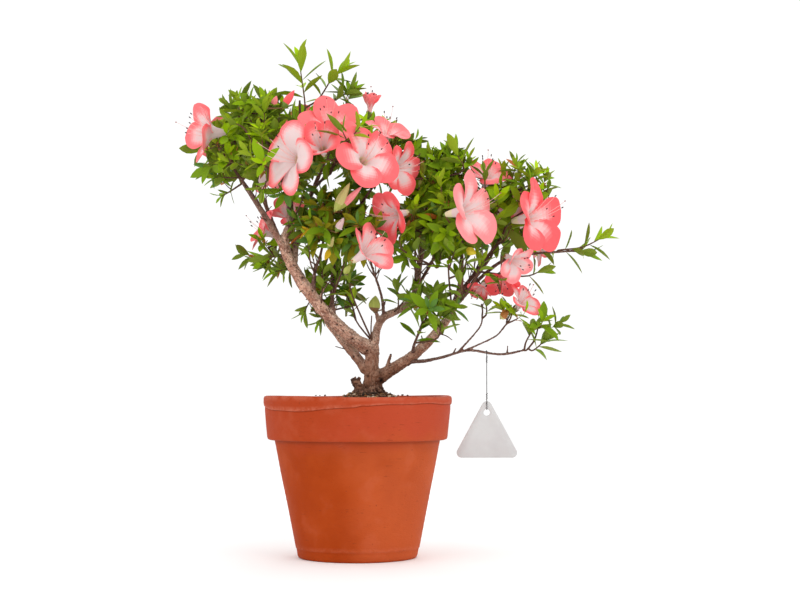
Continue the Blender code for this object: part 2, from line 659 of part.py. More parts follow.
def make_mass(mass, paths, seed):
    """One stem, the twigs that branch from it, their whorls of leaves, and the blossom at their tips."""
    rng = random.Random(seed)
    finishes = [material("bark", BARK, 0.85), material("leaf_green", LEAF_GREEN, 0.5),
                material("petal_pink", PINK, 0.55)]
    space = Space(mass, paths)
    bough = paths[mass.bough]
    ahead = (bough[-1] - bough[-2]).normalized()
    foot = bough[-1] + ahead * CLEAR
    tip_radius = next(limb.radii[-1] for limb in LIMBS if limb.name == mass.bough)
    hub = foot.lerp(space.centre, 0.6)
    axis = [foot, foot + ahead * 3, hub]
    stem = tube(mass.name, axis, [tip_radius, tip_radius * 0.95, STEM_TIP], 4, finishes)
    wood = [point_at(axis, i / 7) for i in range(1, 7)]
    pieces = []
    for blossom in BLOSSOMS:
        if blossom.mass == mass.name:
            facing = Vector(blossom.facing).normalized()
            root = Vector(blossom.mouth) - facing * blossom.width * 0.38
            start = min(wood, key=lambda p: (root - p).length * (2 - (root - p).normalized().dot(facing)))
            pieces.append(corolla(blossom, start, finishes))
            space.leaves.append((start, root, 1.5))
    grown = []
    for tip, aim in shoot_tips(mass, space, hub, rng, seed):
        for _ in range(12):
            if space.free(tip):
                break
            tip = tip.lerp(space.centre, 0.2)
        root = min(wood, key=lambda p: (p - tip).length)
        steps = [root.lerp(tip, i / 8) for i in range(2, 9)]
        apart = [segment_distance(tip, *other[:2]) for other in grown]
        if not all(space.free(p) for p in steps) or (tip - root).length < 5 or min(apart, default=99) < 7:
            continue
        rise = (tip - root).normalized()
        heading = (rise * 1.5 + (tip - space.centre).normalized() * 0.8 + Vector((0, 0, 0.3))).normalized()
        if aim:
            reach = (aim - tip).normalized()
            aside = rise - reach * rise.dot(reach)
            aside = aside.normalized() if aside.length > 0.15 else reach.orthogonal().normalized()
            heading = reach * 0.8 + aside * 0.6
        grown.append((root, tip, heading, aim))
        space.leaves.append((root, root.lerp(tip, 0.8), 1.5))
        wood += steps[:-2]
    for root, tip, heading, aim in grown:
        places, outward = whorl(space, tip, heading, aim, rng)
        if any(places):
            pieces.append(shoot(root, tip, heading, places, outward, finishes))
    combine(stem, pieces, "UNION", "MANIFOLD")


def make_tag(branch):
    """The blank triangular tag: a flat plate with round corners and a hole, hanging below the branch."""
    hang = branch.z - WIRE_LENGTH
    hole = Vector((branch.x, branch.y, hang - TAG_HOLE_RADIUS))
    top = hole.z + TAG_HOLE_BELOW_TOP
    half = TAG_WIDTH / 2 - TAG_CORNER
    corners = [Vector((half, top - TAG_HEIGHT + TAG_CORNER)), Vector((0, top - TAG_CORNER)),
               Vector((-half, top - TAG_HEIGHT + TAG_CORNER))]
    outline = []
    for i, corner in enumerate(corners):
        first = (corner - corners[i - 1]).normalized()
        then = (corners[(i + 1) % 3] - corner).normalized()
        start = math.atan2(-first.x, first.y)
        turn = (math.atan2(-then.x, then.y) - start) % math.tau
        for step in range(6):
            angle = start + turn * step / 5
            outline.append(corner + Vector((math.cos(angle), math.sin(angle))) * TAG_CORNER)
    verts = [(hole.x + p.x, hole.y + side * TAG_THICKNESS / 2, p.y) for side in (-1, 1) for p in outline]
    plate = mesh("tag", verts, ring_faces(2, len(outline)), material("tag_plastic", (0.72, 0.74, 0.75), 0.4))
    path = [hole + Vector((0, -3, 0)), hole + Vector((0, 3, 0))]
    drill = tube("drill", path, [TAG_HOLE_RADIUS] * 2, 16, plate.data.materials[0])
    combine(plate, [drill], "DIFFERENCE", "EXACT")
    return hole


def make_wire(branch, branch_radius, hole):
    """The tag's wire: a loop over the branch, a straight drop, and a hook through the tag's hole."""
    loop = branch_radius + CLEAR + WIRE_RADIUS + 0.1
    path = [branch + Vector((0, math.cos(a) * loop, math.sin(a) * loop))
            for a in (math.radians(-55 + 30 * i) for i in range(10))]
    leg = TAG_THICKNESS / 2 + CLEAR + WIRE_RADIUS + 0.1
    under = hole.z + TAG_HOLE_RADIUS - CLEAR - WIRE_RADIUS - 0.1
    top = hole.z + TAG_HOLE_BELOW_TOP
    path += [Vector((hole.x, hole.y - leg, branch.z - 5)), Vector((hole.x, hole.y - leg, under + 1.2)),
             Vector((hole.x, hole.y - leg * 0.7, under + 0.2)), Vector((hole.x, hole.y + leg * 0.7, under + 0.2)),
             Vector((hole.x, hole.y + leg, under + 1.2)), Vector((hole.x, hole.y + leg, top + 3))]
    return tube("tag_wire", path, [WIRE_RADIUS] * len(path), 5, material("wire", (0.3, 0.3, 0.3), 0.4, 1.0))


def main():
    clear_scene()
    make_pot()
    make_soil()
    paths = limb_paths()
    make_limbs(paths)
    for number, mass in enumerate(MASSES):
        make_mass(mass, paths, number + 1)
    low = next(limb for limb in LIMBS if limb.name == "branch_low_right")
    axis = paths[low.name]
    branch = min((point_at(axis, i / 200) for i in range(201)), key=lambda p: abs(p.x - TAG_X))
    hole = make_tag(branch)
    make_wire(branch, low.radii[0], hole)


main()
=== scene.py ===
# %% [markdown]
# # Dressing a potted azalea bonsai
#
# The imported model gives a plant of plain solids: a pot, soil, limbs, and masses of coarse leaves. This
# lesson puts the real surfaces on it. Each step says what a thing is on the real plant, how it could be
# made in Blender, and why it is made this way. Lengths are millimetres until a mesh is made.

import json
import math
import random
from collections import namedtuple

import bmesh
import bpy
import numpy as np
from mathutils import Matrix, Vector, noise

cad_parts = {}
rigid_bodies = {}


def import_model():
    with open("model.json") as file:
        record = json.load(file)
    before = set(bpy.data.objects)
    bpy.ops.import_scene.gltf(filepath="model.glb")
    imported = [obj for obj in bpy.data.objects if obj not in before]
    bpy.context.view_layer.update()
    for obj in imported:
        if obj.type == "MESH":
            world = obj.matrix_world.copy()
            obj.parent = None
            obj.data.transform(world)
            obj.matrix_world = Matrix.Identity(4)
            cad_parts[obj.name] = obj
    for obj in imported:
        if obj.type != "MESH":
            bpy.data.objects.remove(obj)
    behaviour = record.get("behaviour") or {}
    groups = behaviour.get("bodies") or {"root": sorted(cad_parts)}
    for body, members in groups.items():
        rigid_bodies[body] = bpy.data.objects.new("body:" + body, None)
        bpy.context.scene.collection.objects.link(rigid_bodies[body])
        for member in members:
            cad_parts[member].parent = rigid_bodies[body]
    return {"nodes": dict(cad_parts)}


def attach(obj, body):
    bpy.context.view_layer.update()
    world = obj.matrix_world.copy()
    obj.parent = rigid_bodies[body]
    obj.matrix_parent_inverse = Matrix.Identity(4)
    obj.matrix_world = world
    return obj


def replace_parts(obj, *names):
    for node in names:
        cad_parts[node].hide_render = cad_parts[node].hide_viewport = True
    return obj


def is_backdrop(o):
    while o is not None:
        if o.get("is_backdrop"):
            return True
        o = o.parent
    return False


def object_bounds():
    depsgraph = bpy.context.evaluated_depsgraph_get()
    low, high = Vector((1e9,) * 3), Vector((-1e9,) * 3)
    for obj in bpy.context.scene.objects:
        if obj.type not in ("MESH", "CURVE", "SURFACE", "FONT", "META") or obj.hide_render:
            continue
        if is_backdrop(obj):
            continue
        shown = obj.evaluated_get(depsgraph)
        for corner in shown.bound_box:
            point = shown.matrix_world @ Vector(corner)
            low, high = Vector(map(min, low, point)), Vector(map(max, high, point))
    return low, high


MM = 0.001
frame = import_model()
cad_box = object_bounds()
print("solids:", len(frame["nodes"]))

# %% [markdown]
# ## Camera and light
#
# A catalogue picture of a plant is taken from its own height with a long lens, so that the pot stays
# upright and hardly tapers by perspective. The light is a bright pale room with a large soft lamp from the
# upper right, which leaves soft shadows, a weaker one on the left, and one behind, which lights the edges of
# the leaves. The floor is a plain pale sheet.

# %% Camera
VIEW_WIDTH = 800  # pixels across the picture
LENS_PIXELS = 1581.0  # the lens's focal length in those pixels
CAMERA_PLACE = (42.7, -1600.0, 172.0)
CAMERA_RISE = 2.9  # degrees that the camera looks up

camera_data = bpy.data.cameras.new("camera")
camera_data.sensor_width = 36.0
camera_data.lens = LENS_PIXELS / VIEW_WIDTH * camera_data.sensor_width
camera = bpy.data.objects.new("camera", camera_data)
camera.location = Vector(CAMERA_PLACE) * MM
camera.rotation_euler = (math.radians(90 + CAMERA_RISE), 0, 0)
bpy.context.scene.collection.objects.link(camera)
bpy.context.scene.camera = camera
print("lens:", round(camera_data.lens, 1), "mm")

# %% Light
SKY = (1.0, 1.0, 1.0)
SKY_STRENGTH = 1.05
# name, place, size, power and colour of each soft lamp
LAMPS = [
    ("key", (0.8, -1.3, 1.8), 1.2, 9.0, (1.0, 0.98, 0.95)),
    ("fill", (-1.5, -0.9, 1.2), 1.4, 3.4, (1.0, 0.98, 0.95)),
    ("back", (0.3, 1.5, 1.5), 1.2, 6.0, (1.0, 1.0, 1.0)),
]
LAMPS_AIM = Vector((0.03, 0.0, 0.28))


def soft_lamp(name, place, size, power, colour):
    """A square lamp that looks at the middle of the plant."""
    data = bpy.data.lights.new(name, "AREA")
    data.size = size
    data.energy = power
    data.color = colour
    lamp = bpy.data.objects.new(name, data)
    lamp.location = place
    lamp.rotation_euler = (LAMPS_AIM - lamp.location).to_track_quat("-Z", "Y").to_euler()
    bpy.context.scene.collection.objects.link(lamp)


for settings in LAMPS:
    soft_lamp(*settings)
world = bpy.data.worlds.new("pale room")
world.use_nodes = True
world.node_tree.nodes["Background"].inputs["Color"].default_value = (*SKY, 1.0)
world.node_tree.nodes["Background"].inputs["Strength"].default_value = SKY_STRENGTH
bpy.context.scene.world = world
bpy.context.scene.view_settings.view_transform = "Standard"
print("lamps:", len(LAMPS))

# %% [markdown]
# ## Writing finishes as sums
#
# A finish that looks right is mostly arithmetic: a speck is a noise above a level, dirt is a speck times a
# height. Wiring that by hand hides the sum. Two small classes let it be written as Python: Value wraps a
# socket and its operators add Math nodes, and Finish adds every other node.

# %% Values


class Value:
    """A shader socket that sums work on. Each operator adds the Math node that it stands for."""

    def __init__(self, finish, socket):
        self.finish = finish
        self.socket = socket

    def joined(self, operation, first, second):
        return self.finish.node("ShaderNodeMath", {"operation": operation}, {0: first, 1: second})

    def __add__(self, other):
        return self.joined("ADD", self, other)

    __radd__ = __add__

    def __sub__(self, other):
        return self.joined("SUBTRACT", self, other)

    def __rsub__(self, other):
        return self.joined("SUBTRACT", other, self)

    def __mul__(self, other):
        return self.joined("MULTIPLY", self, other)

    __rmul__ = __mul__


print("sums that work on sockets: + - *")

# %% Finishes


class Finish:
    """A material whose nodes are added by node() and reach the surface by paint()."""

    def __init__(self, name, colour, roughness, sheen=0.5, **plain):
        self.material = bpy.data.materials.new(name)
        self.material.use_nodes = True
        self.tree = self.material.node_tree
        self.surface = self.tree.nodes["Principled BSDF"]
        self.material.diffuse_color = (*colour, 1.0)
        looks = {"Base Color": (*colour, 1.0), "Roughness": roughness, "Specular IOR Level": sheen}
        self.paint(**looks, **plain)

    def connect(self, node, sockets):
        """Link or set a node's sockets."""
        for key, value in sockets.items():
            if isinstance(value, Value):
                self.tree.links.new(value.socket, node.inputs[key])
            else:
                node.inputs[key].default_value = value

    def paint(self, **sockets):
        """Link or set what the surface shows."""
        self.connect(self.surface, sockets)

    def node(self, kind, settings=None, sockets=None, out=0):
        """Adds a node: its settings first, then what its sockets hold. Returns one of its outputs."""
        node = self.tree.nodes.new(kind)
        for key, value in (settings or {}).items():
            setattr(node, key, value)
        self.connect(node, sockets or {})
        return Value(self, node.outputs[out])

    def place(self, stretch=(1, 1, 1)):
        """Where a point is on the piece, in metres, stretched along an axis for patterns with a grain."""
        where = self.node("ShaderNodeTexCoord", out="Object")
        return self.node("ShaderNodeVectorMath", {"operation": "MULTIPLY"}, {0: where, 1: stretch})

    def noise(self, size, detail=3.0, roughness=0.5, where=None):
        """Soft clouds about size millimetres across, from 0 to 1."""
        where = where or self.place()
        return self.node("ShaderNodeTexNoise", {}, {"Vector": where, "Scale": 1 / (size * MM),
                                                    "Detail": detail, "Roughness": roughness})

    def kept(self, name, out="Fac"):
        """What the mesh keeps under this name for each of its points."""
        return self.node("ShaderNodeAttribute", {"attribute_name": name}, out=out)

    def axis(self, name, vector):
        """One of a vector's three parts."""
        return self.node("ShaderNodeSeparateXYZ", {}, {0: vector}, out=name)

    def step(self, value, low, high):
        """0 where value is under low, 1 where it is over high, and smooth between."""
        return self.node("ShaderNodeMapRange", {"interpolation_type": "SMOOTHSTEP"},
                         {"Value": value, "From Min": low, "From Max": high})

    def mix(self, share, first, second):
        """The first colour where share is 0, and the second where it is 1."""
        colours = [c if isinstance(c, Value) else (*c, 1.0) for c in (first, second)]
        return self.node("ShaderNodeMix", {"data_type": "RGBA"},
                         {0: share, 6: colours[0], 7: colours[1]}, out=2)

    def relief(self, height, depth):
        """A bump of that depth in millimetres, from a height between 0 and 1."""
        return self.node("ShaderNodeBump", {}, {"Height": height, "Strength": 1.0, "Distance": depth * MM})


pale_floor = Finish("pale_floor", (0.97, 0.97, 0.97), 0.9)
print("first finish:", pale_floor.material.name)

# %% [markdown]
# ## From points to a piece
#
# Every piece is made from a list of points and a list of faces, so one function does it. The faces are
# listed so that they look outwards, also on leaves and petals, which are closed shells with two sides. Edges
# sharper than a given angle stay crisp. Each piece then rides on the plant's only body.

# %% Pieces
SHARP_ANGLE = math.radians(50)


def piece(name, points, faces, finishes, slot, slots=None, sharp=SHARP_ANGLE):
    """A mesh from points in millimetres. slots gives each face the number of its finish."""
    data = bpy.data.meshes.new(name)
    points = np.asarray(points, float) * MM
    data.from_pydata(points.tolist(), [], faces)
    for finish in finishes:
        data.materials.append(finish.material)
    if slots is not None:
        data.polygons.foreach_set("material_index", slots)
    data.shade_smooth()
    data.set_sharp_from_angle(angle=sharp)
    made = bpy.data.objects.new(name, data)
    bpy.context.scene.collection.objects.link(made)
    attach(made, "root")
    triangles = sum(len(p.vertices) - 2 for p in data.polygons)
    print(f"{name}: {triangles} triangles")
    return made


# %% Floor
FLOOR_SIZE = 12000.0

half = FLOOR_SIZE / 2 * MM
floor_mesh = bpy.data.meshes.new("floor")
floor_corners = [(-half, -half, 0), (half, -half, 0), (half, half, 0), (-half, half, 0)]
floor_mesh.from_pydata(floor_corners, [], [(0, 1, 2, 3)])
floor_mesh.materials.append(pale_floor.material)
floor = bpy.data.objects.new("floor", floor_mesh)
bpy.context.scene.collection.objects.link(floor)
floor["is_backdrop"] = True
print("floor:", FLOOR_SIZE, "mm square")
# %% [markdown]
# ## The clay pot
#
# The pot is a turned flowerpot: a tapered wall, a thick collar, and a lip that was pressed over the collar
# by hand, so its lower edge wanders and hangs lowest at the front left. A lathe modifier could turn one
# outline, but then nothing could wander. Here each ring is made in code, and each point of the outline
# says how much of the lip's dip it follows.

# %% Pot sizes
POT_HEIGHT = 162.0
RIM_RADIUS = 95.0
FOOT_RADIUS = 60.5
POT_WALL = 9.0
POT_FLOOR = 11.0
COLLAR_FOOT = 118.0
WALL_TOP = 83.6
COLLAR_RADIUS = 91.0
LIP_HEIGHT = 8.0
LIP_DIP = 6.5
LIP_DIP_TURN = math.radians(221)  # where the lip hangs lowest
LIP_DIP_SPREAD = math.radians(42)
LIP_JOG = 0.9
LIP_JOG_TURN = math.radians(274)
LIP_JOG_SPREAD = math.radians(2.5)
DRAIN_RADIUS = 10.0
POT_SIDES = 192
POT_STEP = 3.2  # the tallest that a ring of faces may be


def lip_dip(turn):
    """How far the lip's edge hangs below its usual height at this turn, with a small jog at the front."""
    apart = (turn - LIP_DIP_TURN + math.pi) % math.tau - math.pi
    jog = LIP_JOG * math.exp(-(((turn - LIP_JOG_TURN) / LIP_JOG_SPREAD) ** 2))
    waves = 0.8 * math.sin(3 * turn + 1.0), 0.35 * math.sin(11 * turn)
    return LIP_DIP * math.exp(-((apart / LIP_DIP_SPREAD) ** 2)) + waves[0] + waves[1] - jog


print("lip hangs from", LIP_HEIGHT, "to", round(LIP_HEIGHT + lip_dip(LIP_DIP_TURN), 1), "mm")

# %% Pot outline
EDGE = POT_HEIGHT - LIP_HEIGHT  # the lip's lower edge, where it doesn't dip
INNER_TOP = RIM_RADIUS - POT_WALL - 1.0
# The corners of the outline, from the drain hole up outside and down inside. Each is a radius, a height, and
# the points round it: how far out and up from it, and the share of the lip's dip that a point follows.
POT_CORNERS = [
    (DRAIN_RADIUS, 0, [(0, 1.2, 0), (1.2, 0, 0)]),
    (FOOT_RADIUS, 0, [(-3.0, 0, 0), (-0.9, 0.7, 0), (0, 2.5, 0)]),
    (FOOT_RADIUS, 0, [(1.0, 9.4, 0), (1.8, 10.3, 0), (2.0, 11.8, 0)]),
    (WALL_TOP, COLLAR_FOOT, [(-0.2, -1.0, 0), (0.6, 0.1, 0)]),
    (COLLAR_RADIUS, COLLAR_FOOT, [(-2.4, -0.2, 0), (-0.6, 0.7, 0), (0, 2.6, 0)]),
    (RIM_RADIUS, EDGE, [(-1.5, -5.0, 0.8), (-1.5, -1.1, 0.97), (-1.7, -0.3, 1)]),
    (RIM_RADIUS, EDGE, [(-0.9, -0.2, 1), (-0.35, 0.6, 1), (0, 2.2, 0.6)]),
    (RIM_RADIUS, POT_HEIGHT, [(0, -2.6, 0.05), (-0.7, -0.8, 0), (-2.4, 0, 0)]),
    (INNER_TOP, POT_HEIGHT, [(2.2, 0, 0), (0.5, -0.8, 0), (0, -2.6, 0)]),
    (INNER_TOP, COLLAR_FOOT, [(-2.5, 0, 0)]),
    (FOOT_RADIUS - POT_WALL, POT_FLOOR, [(1, 2, 0), (-1, 0, 0)]),
    (DRAIN_RADIUS, POT_FLOOR, [(1, 0, 0), (0, -1.2, 0)]),
]
POT_OUTLINE = [(radius + out, height + up, follow)
               for radius, height, points in POT_CORNERS for out, up, follow in points]


def fine_outline(outline, step):
    """The outline with long stretches divided, so that the wall can wander between its corners."""
    fine = []
    for here, there in zip(outline, outline[1:] + outline[:1]):
        count = max(1, math.ceil(math.dist(here[:2], there[:2]) / step))
        fine += [tuple(a + (b - a) * i / count for a, b in zip(here, there)) for i in range(count)]
    return fine


fine = fine_outline(POT_OUTLINE, POT_STEP)
print("pot outline:", len(fine), "points")

# %% Pot mesh


def quads(rows, columns, rows_meet=False, columns_meet=True):
    """The faces of a grid of points, as four numbers each: a point, the next, and the two in the next row."""
    for row in range(rows if rows_meet else rows - 1):
        here, there = row * columns, (row + 1) % rows * columns
        for column in range(columns if columns_meet else columns - 1):
            after = (column + 1) % columns
            yield here + column, here + after, there + after, there + column


def thrown(radius, height, turn):
    """The radius that a hand-turned wall has here: slightly out of round, with faint throwing rings."""
    oval = 0.35 * math.cos(2 * turn + 0.6) + 0.18 * math.cos(5 * turn + height * 0.03)
    rings = 0.10 * math.sin(height * 0.9 + 2.0 * math.sin(turn)) if 14 < height < COLLAR_FOOT - 4 else 0.0
    lumps = 0.35 * noise.noise(Vector((math.cos(turn) * 3, math.sin(turn) * 3, height * 0.03)))
    share = min(1.0, height / 12)
    return radius + (oval + rings + lumps) * share - 0.3


def pot_mesh():
    """The outline turned round Z, with a wall that wanders and a lip that dips and rises a little."""
    points = []
    for side in range(POT_SIDES):
        turn = math.tau * side / POT_SIDES
        top = 0.5 * math.sin(2 * turn + 0.7) + 0.25 * math.sin(5 * turn)
        for radius, height, follow in fine:
            out = thrown(radius, height, turn)
            rise = max(0.0, (height - EDGE) / LIP_HEIGHT)
            up = height - follow * lip_dip(turn) + rise * (top - 0.5)
            points.append((out * math.cos(turn), out * math.sin(turn), up))
    return points, [(a, d, c, b) for a, b, c, d in quads(POT_SIDES, len(fine), rows_meet=True)]


pot_points, pot_faces = pot_mesh()
print("pot:", len(pot_points), "points")

# %% [markdown]
# Fired clay is never one colour. The wall is orange and the collar and lip are rosier. Damp stains and the
# marks of fingers and shelves make darker clouds and short level scratches. On top of that, light and shade
# are painted on: the right side is paler and the left side darker, the lip's lower edge and the foot ridge
# have a painted highlight, and painted shadow lies under the lip and under the collar. All of it is noise on
# the pot's own coordinates, so it stays put from every side.

# %% Fired clay
CLAY_ORANGE = (0.440, 0.062, 0.007)
CLAY_DEEP = (0.350, 0.042, 0.003)
CLAY_ROSE = (0.460, 0.060, 0.026)
CLAY_PALE = (0.560, 0.150, 0.085)
# also the colour of the painted shadow under the lip and under the collar
CLAY_STAIN_AND_SHADE = (0.160, 0.032, 0.010)
CLAY_PAINTED_SHEEN = (0.600, 0.130, 0.048)


def fired_clay():
    """Orange clay with a rosy collar, stains, scratches and pits, and painted light and shade on its sides
    and edges.
    """
    clay = Finish("fired_clay", CLAY_ORANGE, 0.6, 0.06)
    where = clay.place()
    height = clay.axis("Z", where)
    across = clay.axis("X", where)
    clouds = clay.noise(46, 4, 0.55)
    colour = clay.mix(clay.step(clouds, 0.30, 0.68), CLAY_DEEP, CLAY_ORANGE)
    # painted light and shade: the pot's right side is painted paler and its left side darker
    right_side_lit = clay.step(across + clay.noise(60, 3) * 0.14, 0.010, 0.120)
    colour = clay.mix(right_side_lit * 0.42, colour, CLAY_PAINTED_SHEEN)
    colour = clay.mix((1 - right_side_lit) * 0.50, colour, CLAY_DEEP)
    rosy = clay.step(height + clay.noise(30, 2) * 0.03, 0.118, 0.150)
    colour = clay.mix(rosy * 0.85, colour, CLAY_ROSE)
    # painted shade: the collar's left side is darker still
    colour = clay.mix(rosy * (1 - right_side_lit) * 0.55, colour, CLAY_DEEP)
    blotches = clay.step(clay.noise(24, 3, 0.5), 0.52, 0.70)
    colour = clay.mix(blotches * 0.14, colour, CLAY_PALE)
    lip = clay.step(height, 0.1555, 0.1605) * clay.step(clay.noise(9, 3), 0.30, 0.62)
    colour = clay.mix(lip * 0.45, colour, CLAY_PALE)
    # painted highlight on the lip's lower edge and the foot ridge, broken up by chips
    edge = clay.kept("edge")
    crease = clay.kept("crease")
    chips = clay.step(clay.noise(6, 3, 0.6), 0.40, 0.62)
    colour = clay.mix(edge * (0.25 + chips * 0.45), colour, CLAY_PALE)
    # painted shadow in the line under the lip's lower edge
    colour = clay.mix(crease * 0.60, colour, CLAY_STAIN_AND_SHADE)
    level = clay.place((1, 1, 7))
    scratches = clay.step(clay.noise(11, 3, 0.6, level), 0.66, 0.71)
    scratches = scratches * clay.step(clay.noise(33, 1), 0.48, 0.56)
    colour = clay.mix(scratches * 0.55, colour, CLAY_STAIN_AND_SHADE)
    pits = clay.step(clay.noise(1.6, 2, 0.5), 0.71, 0.76)
    colour = clay.mix(pits * 0.6, colour, CLAY_STAIN_AND_SHADE)
    shade = clay.step(height, 0.1135, 0.1180) * (1 - clay.step(height, 0.1180, 0.1184))
    colour = clay.mix(shade * 0.45, colour, CLAY_STAIN_AND_SHADE)
    grain = clay.noise(0.9, 3, 0.65)
    rough = clay.noise(18, 3) * 0.22 + 0.50 + blotches * 0.10
    hand = clay.noise(3.2, 3, 0.5, clay.place((1, 1, 2.4)))
    clay.paint(**{"Base Color": colour, "Roughness": rough,
                  "Normal": clay.relief(grain * 0.30 + hand * 0.70 - pits * 0.6, 0.35)})
    return clay


clay = fired_clay()
print("clay:", len(clay.tree.nodes), "nodes")

# %% Pot piece
# the ridge near the foot, which gets a faint painted highlight
FOOT_RING_HEIGHT = 11.2


def keep(made, name, values):
    """Keep one value for each point of a piece, which its finish can read."""
    values = np.asarray(values, np.float32)
    made.data.attributes.new(name, "FLOAT", "POINT").data.foreach_set("value", values)


clay_pot = piece("clay_pot", pot_points, pot_faces, [clay], "clay")
# the lip's proud lower edge and the foot ridge get a painted highlight, and the line under the lip's edge a
# painted shadow
lit_edges, shaded_creases = [], []
for radius, height, follow in fine:
    on_lip = follow == 1
    proud = radius > RIM_RADIUS - 1.2
    foot_ring = abs(height - FOOT_RING_HEIGHT) < 1.0 and radius > FOOT_RADIUS
    lit_edges.append((on_lip and proud) + 0.35 * foot_ring)
    shaded_creases.append(float(on_lip and not proud))
keep(clay_pot, "edge", lit_edges * POT_SIDES)
keep(clay_pot, "crease", shaded_creases * POT_SIDES)
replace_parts(clay_pot, "pot")

# %% [markdown]
# ## Soil
#
# Bonsai soil is dark and crumbly: lumps of baked clay and bark, some husks, a few dry leaves. From a step
# away only the low mound round the trunk shows over the rim. A displaced grid makes the crumbly surface,
# and loose crumbs are scattered on it as small rough stones. The soil also fills the drain hole below.

# %% Soil sizes
TRUNK_X = 14.0
SOIL_LEVEL = 155.5
MOUND_TOP = 165.3
MOUND_RADIUS = 27.0
SOIL_RADIUS = INNER_TOP - 1.6
SOIL_RINGS = 62
SOIL_SIDES = 220
PLUG_RADIUS = DRAIN_RADIUS - 0.6
PLUG_TOP = POT_FLOOR + 2.4
# radius and height of the plain rings under the surface
SOIL_UNDER = [(INNER_TOP - 4.4, COLLAR_FOOT), (FOOT_RADIUS - POT_WALL - 0.6, PLUG_TOP),
              (PLUG_RADIUS, PLUG_TOP), (PLUG_RADIUS, 0.0)]
SOIL_LUMPS = [(7.0, 1.3), (2.6, 1.5), (1.2, 0.6)]  # how wide and how tall the lumps of each kind are
print("mound:", round(MOUND_TOP - SOIL_LEVEL, 1), "mm over the bed")


# %% Soil mesh
def soil_height(x, y):
    """The mound under the trunk, the level bed round it, and crumbs of several sizes on both."""
    out = math.hypot(x - TRUNK_X * 0.85, y)
    mound = 1 - min(1.0, max(0.0, (out - MOUND_RADIUS * 0.5) / (MOUND_RADIUS * 1.15)))
    base = SOIL_LEVEL + (MOUND_TOP - SOIL_LEVEL - 0.8) * mound * mound * (3 - 2 * mound)
    crumbs = 0.0
    for size, depth in SOIL_LUMPS:
        crumbs += depth * (0.5 - noise.voronoi(Vector((x, y, base * 0.5)) / size)[0][0])
    return base + crumbs


def soil_mesh():
    """A closed plug: the crumbly top, a plain side inside the pot, and a stub in the drain hole."""
    points = [(0, 0, soil_height(0, 0))]
    for ring in range(1, SOIL_RINGS + 1):
        radius = SOIL_RADIUS * ring / SOIL_RINGS
        for side in range(SOIL_SIDES):
            turn = math.tau * (side + ring % 2 * 0.5) / SOIL_SIDES
            x, y = radius * math.cos(turn), radius * math.sin(turn)
            points.append((x, y, soil_height(x, y)))
    for radius, height in SOIL_UNDER:
        for side in range(SOIL_SIDES):
            turn = math.tau * side / SOIL_SIDES
            points.append((radius * math.cos(turn), radius * math.sin(turn), height))
    points.append((0, 0, 0))
    rings, end = SOIL_RINGS + len(SOIL_UNDER), len(points) - 1
    last = end - SOIL_SIDES
    faces = [(0, 1 + side, 1 + (side + 1) % SOIL_SIDES) for side in range(SOIL_SIDES)]
    faces += [(1 + a, 1 + d, 1 + c, 1 + b) for a, b, c, d in quads(rings, SOIL_SIDES)]
    faces += [(last + side, end, last + (side + 1) % SOIL_SIDES) for side in range(SOIL_SIDES)]
    return points, faces


soil_points, soil_faces = soil_mesh()
print("soil:", len(soil_points), "points")

# %% Soil finish
SOIL_DARK = (0.030, 0.018, 0.012)
SOIL_BROWN = (0.170, 0.072, 0.032)
SOIL_ASH = (0.300, 0.190, 0.120)


def crumbly_soil():
    """Dark brown earth with lumps that have dried to ash."""
    soil = Finish("crumbly_soil", SOIL_BROWN, 0.95, 0.1)
    lumps = soil.node("ShaderNodeTexVoronoi", {"feature": "F1"},
                      {"Vector": soil.place(), "Scale": 1 / (2.6 * MM)}, out="Color")
    dry = soil.node("ShaderNodeSeparateColor", {}, {0: lumps}, out="Red")
    colour = soil.mix(soil.noise(5, 3), SOIL_DARK, SOIL_BROWN)
    colour = soil.mix(soil.step(dry, 0.80, 0.86) * 0.8, colour, SOIL_ASH)
    grit = soil.noise(0.6, 3, 0.7)
    soil.paint(**{"Base Color": colour, "Roughness": 0.82 + grit * 0.15, "Normal": soil.relief(grit, 0.5)})
    return soil


soil_bed = piece("soil_bed", soil_points, soil_faces, [crumbly_soil()], "soil", sharp=math.radians(70))
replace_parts(soil_bed, "soil")

# %% [markdown]
# Loose crumbs, bark chips and dry husks lie on the bed, and more of them, in more colours, against the trunk.
# A few lie on the rim. Each is a small lump with its own turn. All are joined into one mesh, and plain
# colours are dealt out by lump, so a heap keeps the colour's name with each face until the piece is made.

# %% Heaps


class Heap:
    """Points and faces that pile up until one piece is made of them, with a colour's name for each face."""

    def __init__(self):
        self.points, self.faces, self.colours = [], [], []

    def add(self, points, faces, colour=None):
        """Add faces that share one colour, or a list with each face's own."""
        start = len(self.points)
        self.points += points
        self.faces += [tuple(start + i for i in face) for face in faces]
        self.colours += colour if isinstance(colour, list) else [colour] * len(faces)

    def piece(self, name, finishes, slot, sharp=SHARP_ANGLE):
        """The heap as a piece, with its finishes given by their colours' names."""
        numbers = {colour: number for number, colour in enumerate(finishes)}
        slots = [numbers[colour] for colour in self.colours]
        return piece(name, self.points, self.faces, list(finishes.values()), slot, slots, sharp)


# %% Loose crumbs
CRUMB_COLOURS = {"crumb_dark": (0.045, 0.027, 0.018), "crumb_bark": (0.150, 0.075, 0.040),
                 "crumb_husk": (0.400, 0.230, 0.100), "crumb_rust": (0.420, 0.150, 0.040),
                 "crumb_pale": (0.600, 0.450, 0.320)}
DARK, BARK, HUSK, RUST, PALE = CRUMB_COLOURS
